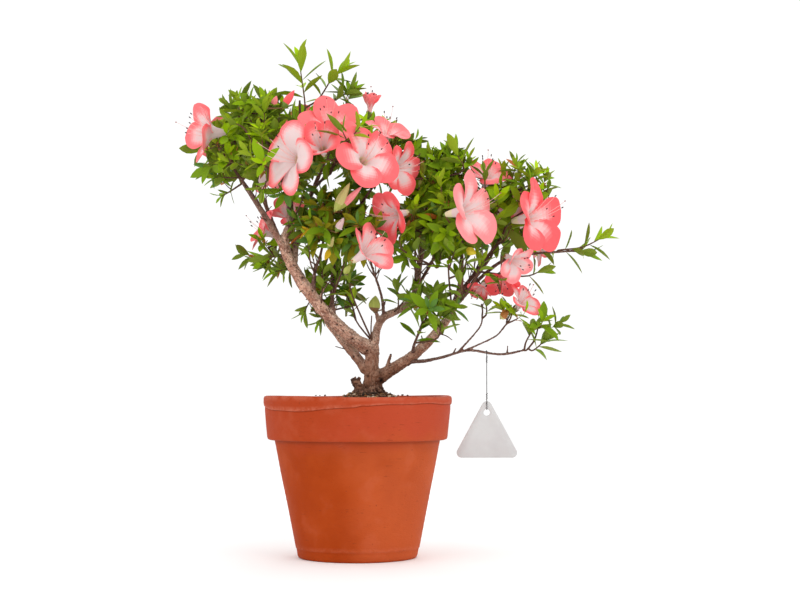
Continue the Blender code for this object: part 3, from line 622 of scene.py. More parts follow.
# how many lie round a place, between which distances from it, their half lengths, and their colours
CRUMB_BEDS = [(620, (0, 0), (0, SOIL_RADIUS - 3), (0.7, 2.0), (DARK, DARK, BARK, BARK, HUSK)),
              (150, (12, -2), (8, 30), (0.9, 2.9), (DARK, DARK, BARK, HUSK, RUST, PALE))]
RIM_CRUMBS = [(-38, 1.5), (-34, 1.1), (-29, 1.4), (41, 1.2), (45, 1.8), (50, 1.2)]  # along X, half length
LUMP_POINTS = [Vector(p).normalized() for p in
               [(0, 0, 1), (0, 0, -1), (1, 0, 0.2), (-1, 0.1, 0), (0.1, 1, -0.2), (0, -1, 0.1),
                (0.7, 0.7, 0.7), (-0.7, -0.6, 0.6), (0.6, -0.7, -0.6), (-0.6, 0.7, -0.5)]]


def lump_faces():
    """The faces round the ten points of a lump, found once as their convex hull."""
    work = bmesh.new()
    for point in LUMP_POINTS:
        work.verts.new(point)
    bmesh.ops.convex_hull(work, input=work.verts)
    work.verts.index_update()
    faces = [tuple(v.index for v in face.verts) for face in work.faces]
    work.free()
    return faces


def crumb_places(rng):
    """Where each crumb lies, its half length and its colour."""
    places = []
    for count, middle, (near, far), sizes, choices in CRUMB_BEDS:
        for _ in range(count):
            turn = rng.uniform(0, math.tau)
            out = math.sqrt(rng.uniform(near ** 2, far ** 2))
            x, y = middle[0] + out * math.cos(turn), middle[1] + out * math.sin(turn)
            places.append((x, y, soil_height(x, y), rng.uniform(*sizes), rng.choice(choices)))
    for x, size in RIM_CRUMBS:
        places.append((x, -math.sqrt((RIM_RADIUS - 4) ** 2 - x * x), POT_HEIGHT + 0.4, size, DARK))
    return places


def loose_crumbs(rng):
    """Every crumb as a lump of its own shape and turn."""
    outline, heap = lump_faces(), Heap()
    for x, y, ground, size, colour in crumb_places(rng):
        shape = Vector((size, size * rng.uniform(0.5, 0.9), size * rng.uniform(0.25, 0.7)))
        turn = Matrix.Rotation(rng.uniform(0, math.tau), 3, "Z")
        turn = turn @ Matrix.Rotation(rng.uniform(-0.6, 0.6), 3, "X")
        middle = Vector((x, y, ground + shape.z * 0.4))
        lump = [middle + turn @ (point * rng.uniform(0.85, 1.1) * shape) for point in LUMP_POINTS]
        heap.add(lump, outline, colour)
    return heap


crumb_finishes = {name: Finish(name, colour, 0.9) for name, colour in CRUMB_COLOURS.items()}
loose_crumbs(random.Random(5)).piece("soil_crumbs", crumb_finishes, "soil", math.radians(30))


# %% [markdown]
# ## The limbs
#
# The tree is one short leaning trunk that forks into four boughs, which carry all the rest. Each limb is a
# smooth curve through a few points, starting on its parent's own curve, with a radius that shrinks towards
# its tip. Nearly the same list made the solids, so the bark drawn here lies where they are. Five limbs bend a
# little beside theirs.

# %% Limb list
# name, the limb it leaves, the share of that limb's length where it leaves, the points it runs through
# to its tip, and its radii spread evenly from foot to tip
Limb = namedtuple("Limb", "name parent share via radii")
LIMBS = {row[0]: Limb(*row) for row in [
    ("trunk", None, 0, [(14, 0, 165.6), (14, 1, 187), (15, 2, 216)], (7.4, 6.6)),
    ("bough_left", "trunk", 0.80, [(-17, -4, 230), (-52, -10, 270), (-73, -14, 311), (-68, -12, 337),
      (-68, -10, 363), (-64, -8, 395), (-59, -9, 438)], (7.0, 6.6, 6.2, 5.6, 3.6, 3.1, 2.6, 1.9)),
    ("bough_middle", "trunk", 0.86, [(20, 5, 231), (27, 6, 242), (43, 9, 250), (56, 9, 262), (63, 6, 298),
      (69, 3, 325), (80, -2, 345)], (4.4, 3.9, 3.4, 2.4)),
    ("bough_right", "trunk", 0.22, [(36, -4, 189), (64, -12, 209), (88, -15, 236), (102, -12, 266),
      (104, -30, 296)], (6.6, 5.8, 4.2, 2.4)),
    ("bough_back_left", "trunk", 0.34, [(-14, 22, 216), (-38, 42, 246), (-64, 56, 284), (-86, 60, 330),
      (-106, 60, 380)], (5.4, 2.0)),
    ("bough_left_outer", "bough_left", 0.49, [(-90, -22, 337), (-103, -28, 358), (-117, -26, 379)],
     (3.9, 2.0)),
    ("bough_left_inner", "bough_left", 0.44, [(-61, 1, 326), (-55, 9, 350), (-38, 9, 392), (-19, 3, 434)],
     (3.3, 1.7)),
    ("bough_left_upper", "bough_left", 0.72, [(-79, -13, 386), (-92, -18, 419)], (2.2, 1.6)),
    ("bough_left_front", "bough_left", 0.64, [(-70, -22, 358), (-71, -32, 367)], (2.0, 1.6)),
    ("bough_crown_front", "bough_left_inner", 0.42, [(-44, -6, 372), (-28, -30, 383)], (2.2, 1.6)),
    ("bough_inner", "bough_left", 0.19, [(-26, -4, 276), (-21, -2, 306), (-5, -6, 342), (17, -14, 375)],
     (2.4, 1.5)),
    ("bough_inner_left", "bough_left", 0.31, [(-43, -14, 285), (-38, -20, 300)], (2.2, 1.6)),
    ("bough_low_left", "bough_left", 0.42, [(-78, 0, 303), (-84, 8, 304)], (1.9, 1.5)),
    ("bough_back_top", "bough_back_left", 0.62, [(-69, 60, 352), (-57, 63, 411)], (2.6, 1.6)),
    ("bough_back_inner", "bough_back_left", 0.42, [(-36, 55, 300), (-6, 58, 371)], (2.4, 1.6)),
    ("bough_inner_low", "bough_back_left", 0.26, [(-28, 30, 242), (-29, 29, 248)], (1.9, 1.5)),
    ("bough_inner_mid", "bough_middle", 0.22, [(24, -3, 262), (15, -22, 290)], (1.6, 1.3)),
    ("bough_mid_front", "bough_middle", 0.52, [(59, -6, 284), (58, -14, 294)], (2.0, 1.5)),
    ("bough_back_right", "bough_middle", 0.42, [(62, 26, 276), (78, 46, 304)], (2.4, 1.6)),
    ("bough_right_upper", "bough_right", 0.76, [(122, -8, 290), (143, -14, 318)], (2.4, 1.6)),
    ("bough_right_outer", "bough_right", 0.68, [(130, -9, 286), (159, -12, 302), (212, -15, 307)],
     (2.3, 1.2)),
    ("bough_right_low", "bough_right_outer", 0.16, [(124, -17, 270), (131, -20, 272)], (1.6, 1.3)),
    ("bough_back_outer", "bough_right", 0.56, [(106, 14, 262), (136, 40, 304)], (2.4, 1.6)),
    ("bough_front_low", "bough_right", 0.30, [(57, -23, 213), (64, -32, 230)], (1.7, 1.3)),
    ("branch_low_right", "bough_right", 0.24, [(66, -17, 196.5), (86, -22, 200.5), (111, -26, 207),
      (142, -28, 203), (166, -30, 207)], (2.0, 1.1)),
    ("twig_low_mid", "branch_low_right", 0.46, [(122, -24, 230), (125, -22, 244)], (1.1, 0.95)),
    ("twig_low_inner", "branch_low_right", 0.50, [(136, -33, 220), (145, -36, 229)], (1.1, 0.95)),
]}
print("limbs:", len(LIMBS))

# %% Curves through points
SOLID_STEPS = 2  # curve points for each stretch in the solids, which decide where a limb leaves its parent
BARK_STEPS = 10


def smooth_path(points, steps):
    """Points along a Catmull-Rom curve, with that many for each stretch between two given points."""
    points = [Vector(p) for p in points]
    ends = [2 * points[0] - points[1], *points, 2 * points[-1] - points[-2]]
    path = []
    for before, start, stop, after in zip(ends, ends[1:], ends[2:], ends[3:]):
        for step in range(steps):
            t = step / steps
            path.append(0.5 * (2 * start + (stop - before) * t
                               + (2 * before - 5 * start + 4 * stop - after) * t * t
                               + (3 * start - 3 * stop + after - before) * t ** 3))
    path.append(points[-1])
    return path


def path_length(path):
    """How long a path is."""
    return sum((b - a).length for a, b in zip(path, path[1:]))


def point_at(path, share):
    """The point that lies this share of the way along a path."""
    left = share * path_length(path)
    for a, b in zip(path, path[1:]):
        length = (b - a).length
        if left <= length:
            return a.lerp(b, left / length)
        left -= length
    return path[-1].copy()


def spread_evenly(values, count):
    """That many values, spaced evenly along the given ones."""
    spots = np.linspace(0, len(values) - 1, count)
    return list(np.interp(spots, range(len(values)), values))


def limb_paths():
    """Every limb's axis, from inside its parent to its tip: coarse as in the solids, and fine."""
    coarse, fine = {}, {}
    for limb in LIMBS.values():
        start = [] if limb.parent is None else [point_at(coarse[limb.parent], limb.share)]
        coarse[limb.name] = smooth_path([*start, *limb.via], SOLID_STEPS)
        fine[limb.name] = smooth_path([*start, *limb.via], BARK_STEPS)
    return coarse, fine


paths, fine_paths = limb_paths()
print("longest limb:", round(max(path_length(path) for path in paths.values())), "mm")

# %% [markdown]
# ## Bark
#
# On the real tree a bough swells where it leaves another, and the two flow together with no seam. Tubes
# pushed into each other would show a seam, so all the limbs are made as tubes, joined, and turned into one
# skin with a voxel remesh. Then each point of that skin is moved a little: old wood has knots, hollows and
# long shallow wrinkles, and young wood has fine ridges. The trunk's foot flares into surface roots, and
# beside it stands the grey snag of a dead stem.

# %% Tubes
COLLAR_SWELL = 0.28  # how much wider a limb is where it leaves its parent
COLLAR_LENGTH = 9.0
BURIED_SHARE = 0.8  # how wide the stretch inside its parent is
TUBE_SIDES = 14


def tube(path, radii, sides):
    """Points and faces of a closed tube round a path, carried along without twisting."""
    points, across = [], None
    for i, centre in enumerate(path):
        ahead = (path[min(i + 1, len(path) - 1)] - path[max(i - 1, 0)]).normalized()
        across = across or ahead.orthogonal()
        across = (across - ahead * across.dot(ahead)).normalized()
        other = ahead.cross(across)
        for side in range(sides):
            angle = math.tau * side / sides
            points.append(centre + (across * math.cos(angle) + other * math.sin(angle)) * radii[i])
    foot, end = tuple(range(sides))[::-1], tuple(range(len(points) - sides, len(points)))
    return points, [*quads(len(path), sides), foot, end]


def round_rod(path, radii, sides):
    """A tube whose few radii are spread evenly along its path."""
    return tube(path, spread_evenly(radii, len(path)), sides)


def limb_radii(limb, path):
    """The radius at each point of a limb, with the swollen collar where it leaves its parent."""
    radii = spread_evenly(limb.radii, len(path))
    if limb.parent is None:
        return radii
    buried = spread_evenly(LIMBS[limb.parent].radii, 101)[round(limb.share * 100)]
    gone = 0.0
    for i in range(len(path)):
        if i:
            gone += (path[i] - path[i - 1]).length
        past = max(0.0, gone - buried)
        radii[i] *= 1 + COLLAR_SWELL * math.exp(-((past / COLLAR_LENGTH) ** 2))
        if gone < buried:
            radii[i] *= BURIED_SHARE
    return radii


print("points round a limb:", TUBE_SIDES)

# %% Trunk, snag and roots
TRUNK_FOOT_RADIUS = 11.0
TRUNK_RADIUS = 7.4
ROOT_COUNT = 5
ROOT_REACH = 0.42
ROOT_PHASE = 0.9
TRUNK_SIDES = 40
TRUNK_RINGS = 44
# share of the trunk's length, radius, and how much of the root flare shows
TRUNK_SHAPE = [(-0.06, TRUNK_FOOT_RADIUS * 1.12, 1.15), (0.0, TRUNK_FOOT_RADIUS, 1.0), (0.06, 9.9, 0.75),
               (0.14, 9.0, 0.4), (0.26, 8.1, 0.15), (0.5, TRUNK_RADIUS, 0.0), (0.75, 7.2, 0.0),
               (0.93, 6.7, 0.0), (1.0, 4.1, 0.0)]
# surface roots: their turn, length and radius
SURFACE_ROOTS = [(185, 22, 3.2), (214, 19, 2.6), (262, 15, 3.0), (318, 18, 3.0), (20, 17, 2.8), (95, 18, 3.0),
                 (150, 17, 2.6)]
ROOT_COURSE = [(0, 5), (0.45, 3.2), (0.8, -0.6), (1, -7)]  # share of a root's length, and its height there
# the dead stem's stub and its broken points: a path and radii for each
SNAGS = [([(7, -5, 160), (2, -6, 168), (-2, -6, 176.5)], (8.5, 5.2, 4.4)),
         ([(-2, -6, 174), (-6.2, -6.5, 179.6)], (3.6, 2.4)), ([(-1, -6, 175), (2.2, -7, 180.5)], (3.2, 1.8)),
         ([(-2, -4, 175), (-2.6, -3, 181.2)], (2.6, 1.2)), ([(3, -8, 160), (-3, -11, 166)], (4.0, 2.6))]


def trunk_tube():
    """The trunk, which flares at its foot in as many lobes as it has main roots."""
    path = paths["trunk"]
    low, high = path[0], path[-1]
    known, radii, flares = zip(*TRUNK_SHAPE)
    shares = np.linspace(known[0], 1, TRUNK_RINGS)
    points, faces = tube([Vector((0, 0, i)) for i in range(TRUNK_RINGS)], [1.0] * TRUNK_RINGS, TRUNK_SIDES)
    shape = zip(shares, np.interp(shares, known, radii), np.interp(shares, known, flares))
    for ring, (share, radius, flare) in enumerate(shape):
        centre = point_at(path, share) if share > 0 else low + (high - low) * share
        for side in range(TRUNK_SIDES):
            angle = math.tau * side / TRUNK_SIDES
            reach = radius * (1 + ROOT_REACH * flare * math.cos(ROOT_COUNT * angle + ROOT_PHASE))
            points[ring * TRUNK_SIDES + side] = centre + Vector((math.cos(angle), math.sin(angle), 0)) * reach
    return points, faces


def root_tube(turn, length, radius):
    """A surface root that leaves the trunk's foot and dives into the mound."""
    out = Vector((math.cos(math.radians(turn)), math.sin(math.radians(turn)), 0)) * length
    foot = Vector(LIMBS["trunk"].via[0])
    path = smooth_path([foot + out * share + Vector((0, 0, rise)) for share, rise in ROOT_COURSE], 5)
    return round_rod(path, (radius * 1.5, radius, radius * 0.8, radius * 0.4), 10)


print("surface roots:", len(SURFACE_ROOTS), "- parts of the snag:", len(SNAGS))

# %% Stubs and dead twigs
THICK_STUB = 0.75  # stubs with a greater radius are part of the bark's skin
Stub = namedtuple("Stub", "limb share way length radius")
# cut stubs and bare dead twigs, by the limb and the share of its length where each stands
STUBS = [Stub(*row) for row in [
    ("bough_right", 0.10, (0.26, -0.26, 0.93), 21, 1.9), ("bough_middle", 0.17, (-0.28, -0.1, 0.95), 13, 2.1),
    ("trunk", 0.93, (-0.02, -0.36, 0.93), 32, 0.7), ("bough_back_left", 0.16, (-0.98, -0.1, 0.16), 15, 0.5),
    ("bough_middle", 0.22, (0.12, -0.3, 0.94), 20, 0.8), ("bough_left", 0.235, (-0.8, -0.1, -0.1), 9, 1.0),
    ("bough_left", 0.24, (-0.95, -0.2, 0.1), 14, 0.7), ("bough_right", 0.50, (0.75, -0.5, -0.35), 20, 0.5),
    ("bough_left", 0.34, (-0.9, -0.3, 0.25), 10, 0.6), ("bough_right", 0.43, (0.55, -0.6, 0.6), 8, 1.4),
    ("bough_left", 0.27, (0.45, -0.35, 0.85), 30, 1.1), ("bough_left", 0.21, (0.3, 0.3, 0.9), 26, 0.9),
    ("bough_right", 0.58, (-0.3, -0.35, 0.9), 26, 0.8), ("bough_middle", 0.62, (-0.5, 0.3, 0.8), 26, 0.8),
    ("bough_back_left", 0.3, (0.2, 0.5, 0.85), 30, 1.0),
    ("bough_left_outer", 0.4, (-0.6, -0.5, 0.4), 12, 0.6),
    ("branch_low_right", 0.42, (0.4, -0.5, 0.8), 7, 0.7), ("branch_low_right", 0.86, (0.1, 0.1, 1.0), 8, 0.8),
    ("bough_right", 0.47, (0.5, -0.7, 0.1), 11, 1.5), ("bough_right", 0.40, (-0.3, -0.6, 0.75), 12, 0.7),
]]


def any_way(rng):
    """A vector with each of its parts between -1 and 1."""
    return Vector([rng.uniform(-1, 1) for _ in range(3)])


def stub_ends(stub):
    """Where a stub stands on its limb, and where it ends."""
    foot = point_at(paths[stub.limb], stub.share)
    return foot, foot + Vector(stub.way).normalized() * stub.length


def stub_tube(stub, rng):
    """A stub or dead twig with a slight bend."""
    foot, end = stub_ends(stub)
    bend = any_way(rng) * stub.length * 0.08
    path = smooth_path([foot, foot + Vector(stub.way).normalized() * stub.length * 0.5 + bend, end], 4)
    return round_rod(path, (stub.radius * 1.5, stub.radius * 1.05, stub.radius * 0.85), 8)


print("stubs and dead twigs:", len(STUBS))

# %% One skin
VOXEL = 0.82
RELAX = 2  # smoothing rounds after the remesh


def one_skin(heap):
    """The heap's overlapping tubes as one closed skin of small quads, relaxed."""
    data = bpy.data.meshes.new("limbs")
    data.from_pydata([tuple(p) for p in heap.points], [], heap.faces)
    source = bpy.data.objects.new("limbs", data)
    bpy.context.scene.collection.objects.link(source)
    remesh = source.modifiers.new("one skin", "REMESH")
    remesh.mode = "VOXEL"
    remesh.voxel_size = VOXEL
    relax = source.modifiers.new("relax", "SMOOTH")
    relax.iterations = RELAX
    relax.factor = 0.5
    skin = bpy.data.meshes.new_from_object(source.evaluated_get(bpy.context.evaluated_depsgraph_get()))
    bpy.data.objects.remove(source)
    places = []
    for key in ("co", "normal"):
        values = np.empty(len(skin.vertices) * 3)
        skin.vertices.foreach_get(key, values)
        places.append(values.reshape(-1, 3))
    return *places, [tuple(p.vertices) for p in skin.polygons]


wood = Heap()
wood.add(*trunk_tube())
for limb in LIMBS.values():
    if limb.parent:
        path = fine_paths[limb.name]
        wood.add(*tube(path, limb_radii(limb, path), TUBE_SIDES))
for root in SURFACE_ROOTS:
    wood.add(*root_tube(*root))
for via, radii in SNAGS:
    wood.add(*round_rod(smooth_path(via, 6), radii, 12))
stub_rng = random.Random(11)
for stub in STUBS:
    if stub.radius > THICK_STUB:
        wood.add(*stub_tube(stub, stub_rng))
skin_points, skin_normals, skin_faces = one_skin(wood)
print("bark skin:", len(skin_points), "points")

# %% [markdown]
# Wrinkles run along a limb, so each point of the skin needs to know which limb it is on, how far along it
# lies and how thick the limb is there. NumPy measures thousands of points at once against every short
# stretch of every limb. The grain, a place that is drawn out along the limb, is kept on the mesh, so that
# the colour follows the same wrinkles as the relief.

# %% Where each point lies
GRAIN_DRAW = 0.22  # how much slower the pattern changes along a limb than round it
LIMB_APART = 500.0  # how far apart the grain of two limbs lies, so that their patterns differ
BLOCK = 4000  # how many points are measured at once


def limb_stretches():
    """For all limbs together: the starts and ends of short stretches, lengths gone, and radii."""
    stretches = []
    for number, limb in enumerate(LIMBS.values()):
        path, gone = fine_paths[limb.name], number * LIMB_APART
        for a, b, radius in zip(path, path[1:], limb_radii(limb, path)):
            stretches.append((a, b, gone, radius))
            gone += (b - a).length
    return map(np.array, zip(*stretches))


def place_on_limbs(points):
    """Each point's grain coordinates and the radius of the limb that it lies on."""
    starts, ends, gone, radii = limb_stretches()
    along = ends - starts
    lengths = np.linalg.norm(along, axis=1)
    grain = np.empty((len(points), 3))
    girth = np.empty(len(points))
    for first in range(0, len(points), BLOCK):
        block = points[first:first + BLOCK]
        away = block[:, None, :] - starts[None]
        share = np.clip(np.einsum("ijk,jk->ij", away, along) / lengths ** 2, 0, 1)
        off = away - share[..., None] * along[None]
        outside = np.linalg.norm(off, axis=2) - radii[None]
        best = outside.argmin(axis=1)
        rows = np.arange(len(block))
        run = gone[best] + share[rows, best] * lengths[best]
        direction = along[best] / lengths[best, None]
        grain[first:first + BLOCK] = off[rows, best] + direction * (run * GRAIN_DRAW)[:, None]
        girth[first:first + BLOCK] = radii[best]
    return grain, girth


grain, girth = place_on_limbs(skin_points)
print("girth:", round(girth.min(), 1), "to", round(girth.max(), 1), "mm")

# %% Relief
OLD_RADIUS = 6.5  # from this radius on a limb has the full relief of old wood
KNOTS = 54
KNOT_RADIUS = 2.6
KNOT_GIRTH = 2.2  # no knots on limbs under this radius
CLEFT = ((22.5, -6, 190), (25, -7, 164))  # the cleft between the trunk and the right bough's foot, carved and painted dark as shade
FOOT_TOP = 182.0  # the height under which the trunk's foot is rough


def bell(away, size):
    """1 at a place, and less and less further from it than size."""
    return np.exp(-((away / size) ** 2))


def wrinkles(point, fibre, radius):
    """How far a point of the skin is moved by soft swellings, long folds and fine ridges."""
    thick = min(1.0, radius / OLD_RADIUS)
    fibre = Vector(fibre)
    swell = noise.noise(Vector(point) * 0.09) * 0.9 * thick
    fold = abs(noise.noise(fibre * 0.42)) * 1.1 * thick
    ridge = noise.noise(fibre * 0.95 + Vector((40, 0, 0))) * (0.20 + 0.30 * thick)
    return swell - fold + ridge


def bark_relief(points, grain, girth, rng):
    """How far each point of the skin is moved outwards, and how dark its knot or pit is, with painted shade
    in the cleft.
    """
    moved = np.array([wrinkles(*place) for place in zip(points, grain, girth)])
    dark = np.zeros(len(points))
    for number in rng.sample(range(len(points)), KNOTS):
        if girth[number] < KNOT_GIRTH:
            continue
        away = np.linalg.norm(points - points[number], axis=1)
        size = KNOT_RADIUS * min(1.0, girth[number] / 5)
        pit = bell(away, size * 0.42)
        moved += 0.75 * bell(away, size) - 1.25 * pit
        dark += 1.3 * pit
    top, end = (np.array(p) for p in CLEFT)
    share = np.clip((points - top) @ (end - top) / ((end - top) @ (end - top)), 0, 1)
    away = np.linalg.norm(points - top - share[:, None] * (end - top), axis=1)
    cleft = bell(away, 2.4) * np.clip(share * 3, 0.3, 1)
    moved -= 2.2 * cleft
    # painted shade: the cleft is painted dark as well as carved
    dark += 1.3 * cleft
    foot = points[:, 2] < FOOT_TOP
    rough = np.array([noise.noise(Vector(p) * 0.45) for p in points[foot]])
    moved[foot] += rough * 1.3 * np.clip((FOOT_TOP - points[foot, 2]) / 14, 0, 1)
    return moved, np.clip(dark, 0, 1)


relief, dark_knots_and_painted_cleft_shade = bark_relief(skin_points, grain, girth, random.Random(7))
skin_points = skin_points + skin_normals * relief[:, None]
print("relief:", round(relief.min(), 2), "to", round(relief.max(), 2), "mm")

# %% [markdown]
# Azalea bark is smooth and thin. On the old wood it is a warm grey-brown, mottled with paler patches where
# flakes have come off, with small dark specks and pores. It is painted paler where it faces up and darker
# where it faces down, as painted light and shade. On younger boughs it is darker and redder and split into
# pale threads. The finish blends the two by girth, and takes the threads from the grain kept on the mesh.
# The trunk's foot, the snag, knots and cut ends are dark.

# %% Bark finish
BARK_TAN = (0.920, 0.550, 0.400)
BARK_PALE = (0.970, 0.750, 0.610)
BARK_RUSSET = (0.430, 0.200, 0.135)
BARK_TRUNK = (0.235, 0.092, 0.042)
BARK_YOUNG = (0.170, 0.083, 0.065)
BARK_THREAD = (0.560, 0.400, 0.320)
BARK_CRACK = (0.170, 0.070, 0.045)
BARK_PORE = (0.035, 0.016, 0.012)
GRAIN = 1000  # the grain is kept in millimetres, so sizes along it are given times this


def azalea_bark():
    """Flaking old bark and threaded young bark, blended by girth, with dark pores, knots and foot, and
    painted light and shade on the old bark by which way it faces.
    """
    bark = Finish("azalea_bark", BARK_TAN, 0.8, 0.12)
    fibre = bark.kept("grain", "Vector")
    thick = bark.kept("girth")
    low = bark.kept("foot")
    patches = bark.step(bark.noise(9, 4, 0.6), 0.42, 0.62)
    old = bark.mix(patches, BARK_RUSSET, BARK_TAN)
    # painted light and shade: bark that faces up is painted paler, and bark that faces down darker
    facing = bark.node("ShaderNodeNewGeometry", {}, {}, out="Normal")
    upper = bark.step(bark.axis("Z", facing), -0.35, 0.85)
    flakes = bark.step(bark.noise(2.6 * GRAIN, 4, 0.6, fibre), 0.50, 0.66)
    # paler flakes, plus painted light where the bark faces up
    old = bark.mix(flakes * 0.30 + upper * 0.55, old, BARK_PALE)
    # painted shade where the bark faces down
    old = bark.mix((1 - upper) * 0.45, old, BARK_RUSSET)
    cracks = bark.step(bark.noise(1.5 * GRAIN, 5, 0.7, fibre), 0.54, 0.60)
    old = bark.mix(cracks * 0.75, old, BARK_CRACK)
    ridges = bark.step(bark.noise(2.1 * GRAIN, 5, 0.7, fibre), 0.56, 0.64)
    old = bark.mix(ridges * 0.7, old, BARK_PALE)
    rise = bark.axis("Z", bark.place())
    old = bark.mix((1 - bark.step(rise + bark.noise(14, 2) * 0.02, 0.190, 0.245)) * 0.75, old, BARK_TRUNK)
    threads = bark.step(bark.noise(1.1 * GRAIN, 3, 0.6, fibre), 0.52, 0.64)
    young = bark.mix(threads * 0.8, BARK_YOUNG, BARK_THREAD)
    colour = bark.mix(bark.step(thick, 2.4, 4.6), young, old)
    specks = bark.step(bark.noise(1.5, 2, 0.5), 0.57, 0.63) * bark.step(bark.noise(12, 2), 0.35, 0.60)
    colour = bark.mix(specks * 0.60, colour, BARK_CRACK)
    pores = bark.step(bark.noise(1.9, 1, 0.4), 0.64, 0.70)
    colour = bark.mix(pores * 0.75, colour, BARK_PORE)
    # dark knots and cut stub ends, and the painted shade in the cleft
    colour = bark.mix(bark.kept("knot"), colour, BARK_PORE)
    damp = low * bark.step(bark.noise(6, 3), 0.30, 0.60)
    colour = bark.mix(damp * 0.80, colour, BARK_PORE)
    height = threads * 0.5 + flakes * 0.3 - pores * 0.5 - cracks * 0.4
    rough = 0.72 + flakes * 0.15
    bark.paint(**{"Base Color": colour, "Roughness": rough, "Normal": bark.relief(height, 0.5)})
    return bark


bark = azalea_bark()
print("bark:", len(bark.tree.nodes), "nodes")

# %% Bark piece
SNAG_MIDDLE = (-3, -6, 177)
DARK_TOP = 178.0  # the height under which the trunk's foot is stained by the soil

bark_skin = piece("bark_skin", skin_points, skin_faces, [bark], "bark", sharp=math.radians(80))
foot = np.clip((DARK_TOP - skin_points[:, 2]) / 10, 0, 1)
snag = np.clip(1.5 - np.linalg.norm(skin_points - np.array(SNAG_MIDDLE), axis=1) / 7, 0, 1)
for stub in STUBS[:2]:
    dark_knots_and_painted_cleft_shade += bell(np.linalg.norm(skin_points - np.array(stub_ends(stub)[1]), axis=1), 2.2)
keep(bark_skin, "girth", girth)
keep(bark_skin, "foot", np.clip(foot + snag, 0, 1))
# knots and cut ends, with the cleft's painted shade
keep(bark_skin, "knot", np.clip(dark_knots_and_painted_cleft_shade, 0, 1))
fibres = bark_skin.data.attributes.new("grain", "FLOAT_VECTOR", "POINT")
fibres.data.foreach_set("vector", grain.astype(np.float32).ravel())
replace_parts(bark_skin, *LIMBS)


# %% [markdown]
# ## The room that each mass has
#
# The crown is a set of rounded masses, each at the tip of one bough. Where two meet, a plane between them
# says whose twig may grow there, so the crown fills evenly and the sky shows where no mass reaches. Nothing
# may grow through a limb or into an open blossom. The masses are those of the solids, and so are most of the
# blossoms, moved and turned a little. Where the real crown is loose, a mass has fewer shoots or ends lower
# than its solid, and long shoots stand out of it.

# %% Masses
# name, the bough whose tip it grows from, centre and radius of its ball, and its main sprays
Mass = namedtuple("Mass", "name bough centre radius sprays")
MASSES = [Mass(*row) for row in [
    ("far_left", "bough_left_outer", (-137, -15, 409), 42, 10),
    ("left_top", "bough_left_upper", (-103, -20, 452), 38, 9),
    ("left_front", "bough_left_front", (-72, -56, 392), 42, 10),
    ("top", "bough_left", (-59, -10, 476), 41, 10),
    ("top_right", "bough_left_inner", (-13, 0, 466), 38, 9),
    ("crown_front", "bough_crown_front", (-16, -54, 403), 41, 9),
    ("crown_right", "bough_inner", (31, -20, 404), 39, 9),
    ("back_left", "bough_back_left", (-116, 58, 421), 48, 10),
    ("back_top", "bough_back_top", (-50, 64, 454), 50, 11),
    ("back_crown", "bough_back_inner", (9, 60, 410), 48, 10),
    ("low_left", "bough_low_left", (-93, 24, 313), 33, 6),
    ("inner_left", "bough_inner_left", (-30, -25, 332), 39, 8),
    ("inner_mid", "bough_inner_mid", (10, -38, 318), 35, 7),
    ("inner_low", "bough_inner_low", (-26, 24, 270), 32, 7),
    ("right_top", "bough_middle", (93, -8, 380), 42, 10),
    ("right_front", "bough_right", (104, -50, 330), 40, 9),
    ("right_mid", "bough_mid_front", (58, -34, 322), 35, 7),
    ("right_outer", "bough_right_upper", (158, -18, 354), 45, 11),
    ("right_tip", "bough_right_outer", (236, -15, 312), 30, 6),
    ("right_low", "bough_right_low", (152, -28, 280), 32, 7),
    ("low_right", "branch_low_right", (184, -30, 224), 30, 7),
    ("low_mid", "twig_low_inner", (153, -38, 238), 21, 3),
    ("under_right", "twig_low_mid", (124, -20, 260), 21, 3),
    ("front_low", "bough_front_low", (72, -44, 245), 33, 8),
    ("back_right", "bough_back_right", (84, 54, 346), 48, 10),
    ("back_outer", "bough_back_outer", (154, 50, 342), 46, 10),
]]
# The crown's outermost leaf tips, by mass
REACH = {"left_top": (-143, -28, 454), "top_right": (2, -8, 486), "far_left": (-160, -28, 370),
         "right_tip": (260, -15, 326), "right_outer": (184, -12, 398), "low_right": (208, -30, 212),
         "low_left": (-103, 16, 277), "inner_low": (-56, 36, 250)}
# How many fine shoots a mass has, as a share of what its size gives
FULLNESS = {"top": 0.5, "top_right": 0.4, "inner_left": 1.3, "inner_mid": 1.1, "inner_low": 0.8,
            "low_left": 0.3, "right_tip": 0.03, "low_right": 0.15, "low_mid": 0.4, "under_right": 0.5,
            "front_low": 0.25, "right_low": 0.6}
# The height under which a mass's other twigs end, so that its long shoots stand free
CEILINGS = {"top": 454, "top_right": 444, "back_top": 450, "left_top": 456}
NO_CEILING = 999
print("masses:", len(MASSES))

